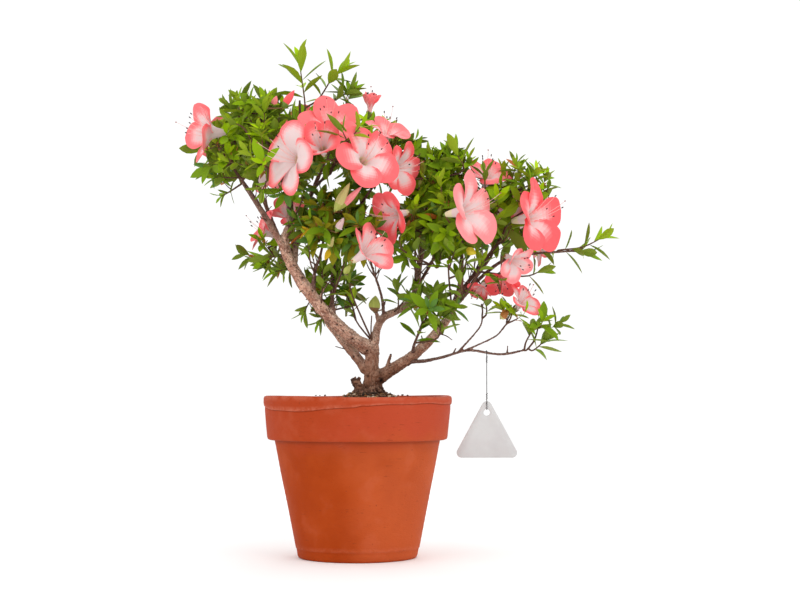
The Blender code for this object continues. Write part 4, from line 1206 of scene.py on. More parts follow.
# %% Blossoms
# The mass a blossom belongs to, the middle of its mouth, the way it faces, its width, how far it has opened
# (1 is flat and wide), how far its white throat spreads towards the edge, how deep its margin is coloured,
# and how far its lobes are turned round its axis
Blossom = namedtuple("Blossom", "mass mouth facing width opened white depth turn")
BLOSSOMS = [Blossom(*row) for row in [
    ("far_left", (-152, -25, 426), (-0.90, -0.43, -0.02), 70, 0.55, 0.50, 0.80, -14),
    ("left_front", (-66, -90, 391), (-0.79, -0.60, 0.08), 75, 1.0, 0.74, 0.88, 14),
    ("crown_front", (-33, -84, 405), (-0.1, -0.88, 0.42), 58, 0.38, 0.40, 0.90, 0),
    ("crown_front", (13, -90, 392), (0.48, -0.83, 0.28), 70, 1.0, 0.38, 0.90, -17),
    ("top", (-27, -46, 431), (0.06, -0.82, 0.48), 68, 0.70, 0.15, 0.78, -24),
    ("top_right", (13, -10, 458), (0.15, -0.3, 0.94), 34, 0.05, 0.10, 0.80, 0),
    ("crown_right", (31, -30, 427), (0.35, -0.45, 0.8), 54, 0.80, 0.20, 0.75, 20),
    ("crown_right", (46, -50, 386), (0.82, -0.56, -0.12), 58, 0.80, 0.46, 0.95, 20),
    ("inner_mid", (13, -76, 302), (0.72, -0.56, 0.40), 64, 0.55, 0.55, 0.75, 20),
    ("right_mid", (34, -60, 338), (-0.80, -0.52, -0.22), 60, 0.75, 0.30, 0.95, 0),
    ("right_front", (113, -87, 341), (0.84, -0.54, 0.10), 80, 0.85, 0.35, 0.55, 36),
    ("right_outer", (179, -50, 338), (0.80, -0.60, 0.08), 80, 0.85, 0.26, 1.00, 34),
    ("right_top", (131, -12, 386), (0.15, -0.55, 0.8), 54, 0.80, 0.25, 0.85, 0),
    ("right_low", (156, -50, 293), (0.60, -0.62, -0.50), 48, 0.60, 0.50, 0.60, 10),
    ("right_low", (144, -32, 274), (-0.05, -0.66, -0.74), 40, 0.70, 0.08, 1.00, 20),
    ("right_low", (123, -30, 268), (-0.45, -0.50, -0.74), 32, 0.50, 0.30, 0.90, 0),
    ("right_outer", (151, 0, 352), (-0.3, -0.75, 0.5), 46, 0.80, 0.50, 0.85, 0),
    ("low_mid", (166, -32, 256), (0.55, -0.5, 0.55), 44, 0.70, 0.60, 0.90, 0),
    ("low_left", (-98, 24, 332), (-0.80, -0.25, 0.40), 50, 0.70, 0.30, 0.90, 0),
    ("low_left", (-72, 24, 350), (0.1, -0.72, 0.65), 46, 0.70, 0.35, 0.85, 0),
    ("back_left", (-148, 90, 434), (-0.6, 0.72, 0.35), 62, 0.95, 0.45, 0.85, 0),
    ("back_left", (-100, 96, 404), (0.35, 0.85, -0.38), 56, 0.62, 0.70, 0.80, 25),
    ("back_top", (-58, 104, 448), (-0.2, 0.85, 0.42), 62, 0.9, 0.40, 0.90, 10),
    ("back_crown", (16, 100, 416), (0.5, 0.85, -0.15), 60, 0.75, 0.30, 0.75, 40),
    ("back_right", (80, 96, 354), (-0.4, 0.85, 0.3), 66, 1.0, 0.50, 0.85, 5),
    ("back_outer", (172, 86, 352), (0.65, 0.7, 0.3), 58, 0.8, 0.35, 1.00, 0),
    ("back_outer", (190, 50, 318), (0.9, 0.3, -0.2), 46, 0.7, 0.60, 0.80, 0),
]]
print("blossoms:", len(BLOSSOMS))

# %% Long shoots
# The long shoots that stand out of each mass: how many leaves one carries, the length of its longest leaf,
# its green, and the points that it runs through
Sprig = namedtuple("Sprig", "leaves length green via")
SPRIGS = {
    "far_left": [
        (10, 20, "fresh", (-124, -15, 412), (-147, -15, 415)),
        (9, 20, "fresh", (-115, -28, 379), (-143, -28, 380)),
        (8, 20, "bright", (-106, -40, 388), (-130, -40, 394)),
        (6, 18, "mid", (-126, -20, 368), (-136, -20, 362)),
    ],
    "left_top": [
        (12, 27, "bright", (-91, -44, 424), (-92, -46, 446)),
        (10, 24, "bright", (-104, -30, 432), (-112, -30, 450)),
        (8, 24, "mid", (-115, -25, 438), (-128, -25, 452)),
        (8, 22, "fresh", (-81, -20, 434), (-77, -20, 453)),
    ],
    "left_front": [
        (9, 20, "bright", (-92, -62, 388), (-106, -62, 400)),
        (8, 20, "mid", (-110, -50, 424), (-125, -50, 432)),
        (7, 22, "mid", (-87, -60, 375), (-92, -60, 363)),
    ],
    "top": [
        (12, 35, "bright", (-53, -16, 452), (-59, -14, 498)),
        (10, 31, "fresh", (-40, -10, 462), (-27, -10, 482), (-18, -10, 492)),
        (10, 27, "mid", (-31, -8, 457), (-8, -8, 471)),
    ],
    "crown_front": [
        (7, 31, "deep", (-9, -89, 404), (-12, -92, 415)),
        (7, 22, "deep", (-12, -40, 341), (-5, -40, 356)),
        (6, 20, "mid", (-56, -40, 351), (-53, -40, 364)),
        (6, 27, "fresh", (-6, -89, 408), (4, -91, 420)),
    ],
    "crown_right": [
        (8, 30, "fresh", (101, -40, 382), (99, -40, 403)),
        (9, 22, "mid", (61, -30, 367), (67, -30, 385)),
        (8, 20, "fresh", (79, -24, 388), (75, -24, 402)),
    ],
    "low_left": [
        (8, 31, "mid", (-75, 0, 303), (-93, 0, 302)),
        (6, 27, "mid", (-67, 6, 292), (-84, 6, 288)),
    ],
    "inner_left": [
        (9, 24, "mid", (-36, -14, 258), (-35, -14, 290)),
        (8, 24, "fresh", (-46, -40, 294), (-48, -40, 316)),
        (8, 23, "deep", (-25, -10, 262), (-20, -10, 288)),
        (7, 24, "deep", (-12, -30, 295), (-7, -30, 317)),
    ],
    "inner_mid": [
        (7, 24, "mid", (41, -10, 252), (40, -10, 272)),
        (5, 20, "mid", (47, -6, 258), (55, -6, 272)),
        (8, 24, "mid", (-5, -20, 262), (-8, -20, 282)),
    ],
    "inner_low": [
        (7, 24, "fresh", (-2, -2, 238), (-6, -2, 258)),
        (6, 22, "mid", (-6, 6, 253), (-14, 6, 267)),
        (7, 22, "mid", (-47, 12, 259), (-55, 12, 247)),
        (7, 22, "mid", (-29, 8, 247), (-39, 8, 237)),
    ],
    "right_top": [
        (7, 18, "bright", (171, -20, 372), (178, -20, 388)),
        (9, 20, "fresh", (143, -10, 367), (147, -10, 388)),
        (9, 18, "bright", (83, -50, 353), (83, -50, 374)),
        (8, 20, "mid", (128, -30, 367), (127, -30, 385)),
        (8, 20, "fresh", (113, -20, 380), (111, -20, 399)),
        (8, 20, "mid", (156, -12, 379), (160, -12, 396)),
    ],
    "right_front": [
        (8, 27, "mid", (90, -60, 285), (92, -60, 306)),
        (8, 26, "deep", (104, -46, 256), (100, -46, 280)),
        (8, 24, "fresh", (117, -50, 278), (123, -50, 293)),
        (9, 26, "deep", (104, -50, 284), (110, -54, 303)),
        (8, 24, "mid", (92, -62, 290), (96, -70, 303)),
    ],
    "right_mid": [
        (8, 26, "mid", (74, -42, 294), (76, -42, 316)),
        (8, 24, "fresh", (45, -56, 305), (43, -56, 322)),
        (8, 24, "mid", (62, -50, 293), (55, -50, 311)),
        (9, 27, "mid", (80, -46, 288), (84, -54, 305)),
    ],
    "right_outer": [
        (6, 26, "mid", (165, -24, 281), (183, -24, 286)),
        (8, 22, "mid", (147, -30, 317), (154, -30, 331)),
        (6, 18, "mid", (184, -10, 359), (192, -10, 371)),
    ],
    "right_tip": [
        (8, 31, "mid", (180, -14, 305), (206, -14, 307), (230, -14, 306)),
        (9, 30, "fresh", (203, -16, 308), (226, -16, 311), (247, -16, 321)),
    ],
    "right_low": [
        (7, 20, "mid", (142, -40, 264), (139, -40, 280)),
    ],
    "low_right": [
        (8, 29, "mid", (175, -30, 207), (186, -30, 216)),
        (6, 27, "mid", (168, -32, 216), (176, -34, 230)),
    ],
    "low_mid": [
        (8, 24, "fresh", (149, -34, 237), (155, -34, 248)),
    ],
    "under_right": [
        (8, 27, "mid", (129, -26, 244), (128, -26, 258)),
    ],
    "front_low": [
        (9, 32, "deep", (57, -40, 214), (65, -46, 236)),
        (8, 30, "deep", (80, -44, 219), (82, -44, 240)),
    ],
}
print("long shoots:", sum(map(len, SPRIGS.values())))

# %% Room
THROAT = 0.38  # a blossom's depth, as a share of its width
FOLIAGE_GAP = 0.8
LIMB_GAP = 1.6
LEAF_GAP = 0.6  # between a leaf and a limb
PETAL_GAP = 1.2
LEAF_OVERHANG = 8.0  # how far a leaf's tip may leave its mass's ball


def throat_root(blossom):
    """Where the petals leave the stalk."""
    return Vector(blossom.mouth) - Vector(blossom.facing).normalized() * blossom.width * THROAT


def segment_distance(point, a, b):
    """How far a point is from the straight line between a and b."""
    along = b - a
    share = max(0.0, min(1.0, (point - a).dot(along) / along.length_squared))
    return (point - a - along * share).length


def in_corolla(blossom, point, gap):
    """Whether a point is inside the cone that a blossom's funnel fills."""
    facing = Vector(blossom.facing).normalized()
    depth = blossom.width * THROAT
    ahead = (point - Vector(blossom.mouth)).dot(facing)
    if not -depth - gap < ahead < 4 + gap:
        return False
    aside = (point - Vector(blossom.mouth) - facing * ahead).length
    return aside < blossom.width * (0.06 + 0.46 * max(0.0, ahead + depth) / depth) + gap


print("first blossom's throat:", [round(v) for v in throat_root(BLOSSOMS[0])])

# %% Space


class Space:
    """What a mass may fill: its ball, on its own side of its neighbours, clear of limbs and blossom."""

    def __init__(self, mass):
        self.mass = mass
        self.centre = Vector(mass.centre)
        self.neighbours = [
            (Vector(m.centre), m.radius) for m in MASSES
            if m is not mass and (Vector(m.centre) - self.centre).length < m.radius + mass.radius + 4
        ]
        self.segments = []
        for limb in LIMBS.values():
            path = paths[limb.name]
            radii = spread_evenly(limb.radii, len(path))
            for a, b, radius in zip(path, path[1:], radii):
                if segment_distance(self.centre, a, b) < mass.radius + radius + LIMB_GAP:
                    self.segments.append((a, b, radius))
        self.corollas = [
            b for b in BLOSSOMS if (Vector(b.mouth) - self.centre).length < mass.radius + b.width
        ]
        self.balls = [(self.centre, mass.radius + LEAF_OVERHANG), *self.neighbours]

    def holds(self, point, gap=FOLIAGE_GAP):
        """Whether a point is in the ball and on this mass's side of each plane between two balls."""
        own = (point - self.centre).length_squared - self.mass.radius ** 2
        if own > -2 * gap * self.mass.radius:
            return False
        for centre, radius in self.neighbours:
            other = (point - centre).length_squared - radius ** 2
            if other - own < 2 * gap * (centre - self.centre).length:
                return False
        return True

    def misses_limbs(self, point, gap=LIMB_GAP):
        """Whether a point is outside every limb."""
        return all(segment_distance(point, a, b) > r + gap for a, b, r in self.segments)

    def misses_blossom(self, point):
        """Whether a point is outside every open blossom."""
        return not any(in_corolla(b, point, PETAL_GAP) for b in self.corollas)

    def free(self, point):
        """Whether a twig may pass here."""
        return self.holds(point) and self.misses_limbs(point) and self.misses_blossom(point)

    def open_to_leaf(self, point):
        """Whether a leaf may reach here: leaves of two masses may mingle where their balls meet."""
        within = any((point - centre).length < radius for centre, radius in self.balls)
        return within and self.misses_limbs(point, LEAF_GAP) and self.misses_blossom(point)


print("neighbours of the first mass:", len(Space(MASSES[0]).neighbours))

# %% [markdown]
# ## Twigs
#
# An azalea branches again and again: at the end of each year's shoot two to four new ones start. So each
# mass has a stem from its bough's tip, main twigs to points spread over its ball by the golden angle, and
# then many finer twigs, nearest first, each from the nearest wood that has grown. That gives the layered
# fans of a real crown. A seeded generator makes the same plant each time.

# %% Where twigs end
GOLDEN_ANGLE = math.pi * (3 - math.sqrt(5))
SOLID_LEAF = 38.0  # the length of a leaf in the solids, which sets how deep their main twigs end
SHOOTS_PER_AREA = 0.0185  # fine shoots for each square millimetre of a mass's radius squared
LEAF_ROOM = 12.0  # how far inside the ball the outermost shoots end
UNDERSIDE = -0.45  # directions under this have few shoots, because little light comes there
UNDER_SHARE = 0.35


def on_ball(number, count, shift):
    """One of count directions that are spread evenly by the golden angle."""
    rise = 1 - 2 * (number + 0.5) / count
    flat = math.sqrt(1 - rise * rise)
    angle = number * GOLDEN_ANGLE + shift
    return Vector((flat * math.cos(angle), flat * math.sin(angle), rise))


def main_tips(mass, space, hub, rng, seed):
    """Where the main twigs end: where the solids' do, but under the mass's ceiling."""
    tips = []
    if mass.name in REACH:
        aim = Vector(REACH[mass.name])
        length = min(0.95 * SOLID_LEAF, (aim - hub).length - 9)
        tips.append((aim + (hub - aim).normalized() * length, aim))
    inner = max(0.45 * mass.radius, mass.radius - 0.62 * SOLID_LEAF)
    count = round(mass.sprays * min(1, math.sqrt(FULLNESS.get(mass.name, 1))))
    for k in range(count - len(tips)):
        tip = space.centre + on_ball(k, mass.sprays, seed) * inner * rng.uniform(0.8, 1.0)
        if tip.z < CEILINGS.get(mass.name, NO_CEILING):
            tips.append((tip, None))
    return tips


def fine_tips(mass, space, rng):
    """Where the fine twigs end: points at mixed depths, the nearest to the middle first."""
    count = round(SHOOTS_PER_AREA * mass.radius ** 2 * FULLNESS.get(mass.name, 1))
    outermost = 1 - LEAF_ROOM / mass.radius
    tips = []
    for k in range(count):
        out = on_ball(k, count, rng.uniform(-0.3, 0.3))
        depth = outermost * (rng.uniform(0.35, 0.70) if k % 3 == 0 else rng.uniform(0.75, 1.0))
        depth *= 1.0 + 0.30 * noise.noise((space.centre + out * mass.radius) * 0.045)
        tip = space.centre + out * mass.radius * depth
        if tip.z < CEILINGS.get(mass.name, NO_CEILING) and (out.z > UNDERSIDE or rng.random() < UNDER_SHARE):
            tips.append(tip)
    return sorted(tips, key=lambda tip: (tip - space.centre).length)


print("golden angle:", round(math.degrees(GOLDEN_ANGLE), 1), "degrees")

# %% Wood to start from
CARRIER_REACH = 60.0  # how far from a limb a long shoot may start
Twig = namedtuple("Twig", "root tip order")


def nearest(places, goal, way, detour):
    """The place to reach goal from, so that a shoot need not turn back to go on its way from there."""
    return min(places, key=lambda p: (goal - p).length * (detour - (goal - p).normalized().dot(way)))


def long_shoots(mass, wood, twigs):
    """The mass's long shoots, each from its own wood or the limbs that carry it, without turning back."""
    carriers, name = [], mass.bough
    while name:
        carriers += fine_paths[name][4:]
        name = LIMBS[name].parent
    grown = []
    for leaves, length, green, *via in SPRIGS.get(mass.name, ()):
        sprig = Sprig(leaves, length, green, via)
        first, second = (Vector(p) for p in via[:2])
        way = (second - first).normalized()
        near = [*wood, *[p for p in carriers if (p - first).length < CARRIER_REACH]]
        path = smooth_path([nearest(near, first, way, 1.7), *via], 4)
        grown.append((sprig, path))
        twigs.append(Twig(path[0], path[-1], 0))
        wood.extend(path[2:-4])
    return grown


print("long shoots start within", CARRIER_REACH, "mm of a limb")

# %% Growth
MAIN_APART, SHOOT_APART = 5.0, 7.5  # the room between two main twigs, and between two fine ones
SHORTEST = 4.0
TRIES = 12  # how often a twig that has no room is tried again, nearer to the middle
Shoot = namedtuple("Shoot", "tip heading outer mass aim")
Grown = namedtuple("Grown", "mass space axis twigs shoots stalks sprigs")


def grow(mass, seed):
    """A mass's twigs, the shoots at their ends, and the stalks of its blossoms."""
    rng = random.Random(seed)
    space = Space(mass)
    bough = paths[mass.bough]
    ahead = (bough[-1] - bough[-2]).normalized()
    foot = bough[-1]
    hub = foot.lerp(space.centre, 0.6)
    axis = [foot, foot + ahead * 3, hub]
    wood = [point_at(axis, i / 7) for i in range(1, 7)]
    twigs, shoots, stalks = [], [], []
    for blossom in BLOSSOMS:
        if blossom.mass == mass.name:
            root, facing = throat_root(blossom), Vector(blossom.facing).normalized()
            stalks.append((nearest(wood, root, facing, 2), root, facing))

    def add(tip, aim, order, apart):
        """A twig to tip from the nearest wood, if it has room and others are far enough."""
        for _ in range(TRIES):
            if space.free(tip):
                break
            tip = tip.lerp(space.centre, 0.2)
        root = min(wood, key=lambda p: (p - tip).length)
        steps = [root.lerp(tip, i / 8) for i in range(2, 9)]
        near = min((segment_distance(tip, t.root, t.tip) for t in twigs), default=99)
        if not all(space.free(p) for p in steps) or (tip - root).length < SHORTEST or near < apart:
            return
        rise = (tip - root).normalized()
        outward = (tip - space.centre).normalized()
        heading = (rise * 1.2 + outward * 0.8 + Vector((0, 0, 0.8))).normalized()
        if aim:
            heading = (aim - tip).normalized()
        twigs.append(Twig(root, tip, order))
        shoots.append(Shoot(tip, heading, (tip - space.centre).length / mass.radius, mass, aim))
        wood.extend(steps[:-1])

    sprigs = long_shoots(mass, wood, twigs)
    for tip, aim in main_tips(mass, space, hub, rng, seed):
        add(tip, aim, 1, MAIN_APART)
    for tip in fine_tips(mass, space, rng):
        add(tip, None, 2, SHOOT_APART)
    return Grown(mass, space, axis, twigs, shoots, stalks, sprigs)


crown = [grow(mass, number + 1) for number, mass in enumerate(MASSES)]
print("twigs:", sum(len(part.twigs) for part in crown))
# %% [markdown]
# Twigs are thin tubes with a slight bend. Old twigs are brown and this year's shoots are green and reddish.
# They are one joined piece with plain colours dealt out by twig, because so many small tubes could never
# share a painted pattern.

# %% Twig mesh
TWIG_COLOURS = {"twig_brown": (0.120, 0.058, 0.038), "twig_red": (0.210, 0.085, 0.045),
                "shoot_green": (0.260, 0.280, 0.030)}
TWIG_RADII = {1: (1.05, 0.6), 2: (0.62, 0.36)}  # of main twigs and of fine ones
LONG_SHOOT_RADII = (1.1, 0.9, 0.75, 0.55)
GREEN_END_RADII = (0.72, 0.65, 0.5)  # of the green end that lies over a long shoot's brown one
BARE_TWIGS = 150  # thin leafless twigs that old limbs keep inside the crown
BARE_ABOVE = 240  # the height that they stand above


def bent(root, tip, bend, steps=4):
    """A path from root to tip that bows aside by bend."""
    path = []
    for i in range(steps + 1):
        share = i / steps
        path.append(root.lerp(tip, share) + bend * math.sin(math.pi * share))
    return path


def add_mass_twigs(heap, part, rng):
    """A mass's stem, its long shoots and its twigs."""
    stem = smooth_path(part.axis, 3)
    foot = LIMBS[part.mass.bough].radii[-1]
    stem[0] = stem[0] - (stem[1] - stem[0]).normalized() * 2
    heap.add(*round_rod(stem, (foot, foot * 0.85, 1.0), 7), "twig_brown")
    for sprig, path in part.sprigs:
        green = path[-9:] if len(sprig.via) > 2 else path[-5:]
        heap.add(*round_rod(path, LONG_SHOOT_RADII, 6), "twig_brown")
        heap.add(*round_rod(green, GREEN_END_RADII, 6), "shoot_green")
    for twig in part.twigs:
        if twig.order == 0:  # a long shoot, which is there already
            continue
        sag = (twig.tip - twig.root).length * 0.05
        bend = any_way(rng) * (twig.tip - twig.root).length * 0.05 - Vector((0, 0, sag))
        rod = round_rod(bent(twig.root, twig.tip, bend), TWIG_RADII[twig.order], 5)
        colours = ("twig_brown", "twig_brown", "twig_red")
        heap.add(*rod, "twig_brown" if twig.order == 1 else rng.choice(colours))


def add_bare_twigs(heap, rng):
    """The dead twigs that are too thin for the bark skin, and the leafless ones of old limbs."""
    for stub in STUBS:
        if stub.radius <= THICK_STUB:
            heap.add(*stub_tube(stub, rng), "twig_brown")
    for _ in range(BARE_TWIGS):
        limb = rng.choice(list(LIMBS.values())[1:])
        share = rng.uniform(0.35, 1.0)
        aside = (rng.uniform(-1, 1), rng.uniform(-1, 1), rng.uniform(0.4, 1.6))
        if point_at(paths[limb.name], share).z > BARE_ABOVE:
            twig = Stub(limb.name, share, aside, rng.uniform(10, 34), rng.uniform(0.35, 0.6))
            heap.add(*stub_tube(twig, rng), "twig_brown")


twig_finishes = {name: Finish(name, colour, 0.75, 0.15) for name, colour in TWIG_COLOURS.items()}
twig_heap, twig_rng = Heap(), random.Random(21)
for part in crown:
    add_mass_twigs(twig_heap, part, twig_rng)
add_bare_twigs(twig_heap, twig_rng)
twig_heap.piece("fine_twigs", twig_finishes, "bark")

# %% [markdown]
# ## Leaves
#
# An azalea's leaves are lance-shaped, folded a little along the midrib, and arch back at the tip. They
# stand in a spiral, crowded at the end of each shoot: wide ones below, small fresh ones at the tip. Each is
# a closed shell of twenty-four faces, so the upper side can be bright green and the lower side paler. There
# are some thousands, so NumPy places the points of all of them at once.

# %% Leaf colours
TINTS = {
    "leaf_bright": (0.430, 0.620, 0.003), "leaf_fresh": (0.310, 0.480, 0.003),
    "leaf_mid": (0.225, 0.365, 0.005), "leaf_deep": (0.165, 0.275, 0.008),
    "leaf_shade": (0.105, 0.215, 0.036), "leaf_olive": (0.260, 0.235, 0.010),
    "leaf_gold": (0.650, 0.420, 0.020), "leaf_rust": (0.400, 0.110, 0.015),
    "under_pale": (0.300, 0.410, 0.022), "under_deep": (0.205, 0.285, 0.030),
    "bract": (0.460, 0.200, 0.050),
}
# The colour of the lower side, where it isn't that of the upper one
UNDER = {"leaf_bright": "under_pale", "leaf_fresh": "under_pale", "leaf_mid": "under_deep",
         "leaf_deep": "under_deep", "leaf_shade": "under_deep", "leaf_olive": "under_deep"}
# The colours of a long shoot's lower leaves and of its tip, by its green
GREENS = {"bright": ("leaf_fresh", "leaf_bright"), "fresh": ("leaf_mid", "leaf_fresh"),
          "mid": ("leaf_mid", "leaf_mid"), "deep": ("leaf_deep", "leaf_mid")}
# How much darker the leaves of a mass are than others, as painted shade
SHADED = {"inner_left": 0.35, "inner_mid": 0.35, "inner_low": 0.35, "front_low": 0.40, "low_right": 0.15,
          "under_right": 0.2, "right_low": 0.1}
OLIVE_SHARE = 0.30  # how many inner leaves have dulled where little light comes in
WITHERED_INNER, WITHERED_OUTER = 0.022, 0.004  # how many leaves are gold or rust


def is_inner(mass):
    """Whether a mass is one of those in the middle of the crown."""
    return mass.name.startswith("inner")


def spray_tints(shoot, rng):
    """Two neighbouring greens for a shoot: its lower leaves and its fresh tip. They are picked by painted
    light: lighter for outer shoots that face up, darker for inner and shaded masses.
    """
    light = shoot.outer * 0.55 + 0.35 * shoot.heading.z + rng.uniform(-0.28, 0.28)
    light += 0.22 if shoot.tip.x < -30 and shoot.tip.z > 400 else 0.0  # painted light: the crown's upper left is brighter
    light -= SHADED.get(shoot.mass.name, 0.0)
    if light > 0.82:
        return "leaf_fresh", "leaf_bright"
    if light > 0.55:
        return "leaf_mid", "leaf_fresh"
    if light > 0.30:
        return "leaf_deep", "leaf_mid"
    return "leaf_deep", "leaf_shade"


def aged(tint, shoot, rng):
    """A leaf's colour, or that of the few that have withered or dulled."""
    inner = is_inner(shoot.mass)
    chance = rng.random()
    if not shoot.aim and chance < (WITHERED_INNER if inner else WITHERED_OUTER):
        return rng.choice(("leaf_gold", "leaf_rust"))
    return "leaf_olive" if inner and chance < OLIVE_SHARE else tint


print("leaf colours:", len(TINTS))

# %% Leaf directions
LEAF_SIZES = (1.0, 0.88, 0.76)  # the sizes tried where a full leaf would leave its mass
Leaf = namedtuple("Leaf", "base along normal length width tint")


def square_out(heading, turn):
    """The direction at right angles to heading that lies at a turn round it."""
    return Matrix.Rotation(turn, 3, heading) @ heading.orthogonal().normalized()


def leaning(heading, turn, spread):
    """The direction that leans away from heading by spread degrees, at a turn round it."""
    spread = math.radians(spread)
    return (heading * math.cos(spread) + square_out(heading, turn) * math.sin(spread)).normalized()


def facing_tip(along, heading):
    """The way a leaf's upper side faces, where it lies along one direction on a shoot with this heading."""
    return (heading - along * heading.dot(along)).normalized()


def fitting_length(base, along, longest, space):
    """The length of the longest leaf that has room here, if any has."""
    for size in LEAF_SIZES:
        end = base + along * longest * size
        middle = base + along * longest * size * 0.55
        if space.open_to_leaf(end) and space.open_to_leaf(middle):
            return longest * size
    return None


print("leaf sizes:", LEAF_SIZES)

# %% Leaves of a shoot
LEAF_LENGTHS = (25.0, 33.0)
LEAF_WIDTHS = (0.33, 0.40)  # width as a share of length
LEAVES_ON_SHOOT = (5, 8)
SHOOT_LENGTHS = (3.0, 12.0)
BRACT_SHARE = 0.5  # how many shoots keep the dry scales of their bud
BRACT_LENGTHS, BRACT_WIDTH = (6, 11), 0.42


def shoot_leaves(shoot, space, rng):
    """The leaves of one shoot, wide and spreading at its foot, small and upright at its tip."""
    length = rng.uniform(*SHOOT_LENGTHS)
    count = rng.randint(*LEAVES_ON_SHOOT) + (1 if length > 8 else 0)
    if shoot.aim:  # a shoot that carries one of the crown's outermost leaves
        length = max(6.0, (shoot.aim - shoot.tip).length - 19)
        count = 6 + round(length / 3.5)
    old, fresh = spray_tints(shoot, rng)
    turn = rng.uniform(0, math.tau)
    full = rng.uniform(*LEAF_LENGTHS)
    leaves = []
    reach = shoot.tip
    for k in range(count):
        share = k / (count - 1)
        spread = 78 - 50 * share ** 1.5 + rng.uniform(-9, 9)
        along = leaning(shoot.heading, turn + k * GOLDEN_ANGLE * 1.02, spread)
        if shoot.aim and k == count - 1:
            along = shoot.heading
        base = shoot.tip + shoot.heading * length * share
        longest = full * (1.0 - 0.45 * share) * rng.uniform(0.85, 1.08)
        fitting = fitting_length(base, along, longest, space)
        if fitting:
            side = shoot.heading.cross(along).normalized()
            normal = along.cross(side).normalized()
            normal = normal if normal.dot(shoot.heading) > 0 else -normal
            tint = aged(fresh if share > 0.62 else old, shoot, rng)
            leaves.append(Leaf(base, along, normal, fitting, rng.uniform(*LEAF_WIDTHS), tint))
            reach = base
    if is_inner(shoot.mass) or rng.random() < BRACT_SHARE:
        leaves += bracts(shoot, rng)
    return leaves, reach


def bracts(shoot, rng):
    """The dry bud scales that stay round the foot of a shoot."""
    scales = []
    for _ in range(rng.randint(2, 4)):
        aside = square_out(shoot.heading, rng.uniform(0, math.tau))
        along = (shoot.heading + aside * rng.uniform(0.4, 1.2)).normalized()
        foot = shoot.tip - shoot.heading * rng.uniform(0, 4)
        normal = facing_tip(along, shoot.heading)
        scales.append(Leaf(foot, along, normal, rng.uniform(*BRACT_LENGTHS), BRACT_WIDTH, "bract"))
    return scales


print("leaves on a shoot:", LEAVES_ON_SHOOT)

# %% All leaves
LONG_SHOOT_LEAF_WIDTHS = (0.30, 0.39)


def sprig_leaves(sprig, path, space, rng):
    """The leaves of a long shoot: spaced along it, closer towards its tip, longest in the middle."""
    stem = path[4:]
    old, fresh = GREENS[sprig.green]
    turn = rng.uniform(0, math.tau)
    leaves = []
    for k in range(sprig.leaves):
        share = k / (sprig.leaves - 1)
        place = 0.12 + 0.88 * (1 - (1 - share) ** 1.35)
        base = point_at(stem, place)
        heading = (point_at(stem, min(1, place + 0.08)) - point_at(stem, place - 0.08)).normalized()
        spread = 72 - 52 * share ** 1.4 + rng.uniform(-8, 8)
        along = leaning(heading, turn + k * GOLDEN_ANGLE, spread)
        length = sprig.length * (0.85 + 0.38 * share - 0.60 * share ** 3) * rng.uniform(0.9, 1.05)
        if all(space.misses_blossom(base + along * length * s) for s in (0.5, 1.0)):
            tint = fresh if share > 0.55 or rng.random() < 0.25 else old
            width = rng.uniform(*LONG_SHOOT_LEAF_WIDTHS)
            leaves.append(Leaf(base, along, facing_tip(along, heading), length, width, tint))
    return leaves


leaf_rng = random.Random(31)
leaves_of, stems = {mass.name: [] for mass in MASSES}, []
for part in crown:
    for shoot in part.shoots:
        leaves, reach = shoot_leaves(shoot, part.space, leaf_rng)
        leaves_of[part.mass.name] += leaves
        stems.append((shoot, reach))
    for sprig, path in part.sprigs:
        leaves_of[part.mass.name] += sprig_leaves(sprig, path, part.space, leaf_rng)
print("leaves:", sum(map(len, leaves_of.values())))

# %% Leaf mesh
# share of the length, half width as a share of the widest, for the cross sections of a leaf
LEAF_SECTIONS = [(0.06, 0.15), (0.24, 0.66), (0.44, 0.97), (0.64, 0.96), (0.84, 0.56)]
LEAF_THICKNESS = 0.28
LEAF_FOLD = math.radians(17)
LEAF_ARCH = 0.14  # how far the tip bends back, as a share of the length


def leaf_faces():
    """The upper and lower faces of one leaf. Its points are the base, the tip, and then the left rim, the
    right rim, the upper and the lower midrib of each section."""
    rows = [range(2 + 4 * section, 6 + 4 * section) for section in range(len(LEAF_SECTIONS))]
    left, right, top, low = rows[0]
    upper = [(0, top, left), (0, right, top)]
    lower = [(0, left, low), (0, low, right)]
    for a, b in zip(rows, rows[1:]):
        upper += [(a[0], a[2], b[2], b[0]), (a[2], a[1], b[1], b[2])]
        lower += [(a[3], a[0], b[0], b[3]), (a[1], a[3], b[3], b[1])]
    left, right, top, low = rows[-1]
    upper += [(left, top, 1), (top, right, 1)]
    lower += [(low, left, 1), (right, low, 1)]
    return upper, lower


def leaf_points(leaves, rng):
    """The points of many leaves: one row for each leaf."""
    def column(values):
        return np.array(list(values))[:, None]

    base = np.array([leaf.base for leaf in leaves])
    along = np.array([leaf.along for leaf in leaves])
    normal = np.array([leaf.normal for leaf in leaves])
    length = column(leaf.length for leaf in leaves)
    half = column(leaf.length * leaf.width / 2 for leaf in leaves)
    side = np.cross(along, normal)
    twist = column(rng.uniform(-0.4, 0.4) for _ in leaves)
    arch = column(rng.uniform(0.0, 1.5) for _ in leaves) * LEAF_ARCH
    fold = column(rng.uniform(0.3, 1.7) for _ in leaves) * LEAF_FOLD

    def middle(share):
        return base + along * length * share + normal * length * arch * (0.55 * share - share * share)

    points = [middle(0.0), middle(1.0)]
    for share, width in LEAF_SECTIONS:
        turned_side = side * np.cos(twist * share) + normal * np.sin(twist * share)
        turned_up = normal * np.cos(twist * share) - side * np.sin(twist * share)
        out = turned_side * np.cos(fold) * half * width
        up = turned_up * np.sin(fold) * half * width
        spine = middle(share)
        points += [spine - out + up, spine + out + up, spine, spine - turned_up * LEAF_THICKNESS]
    return np.stack(points, axis=1)


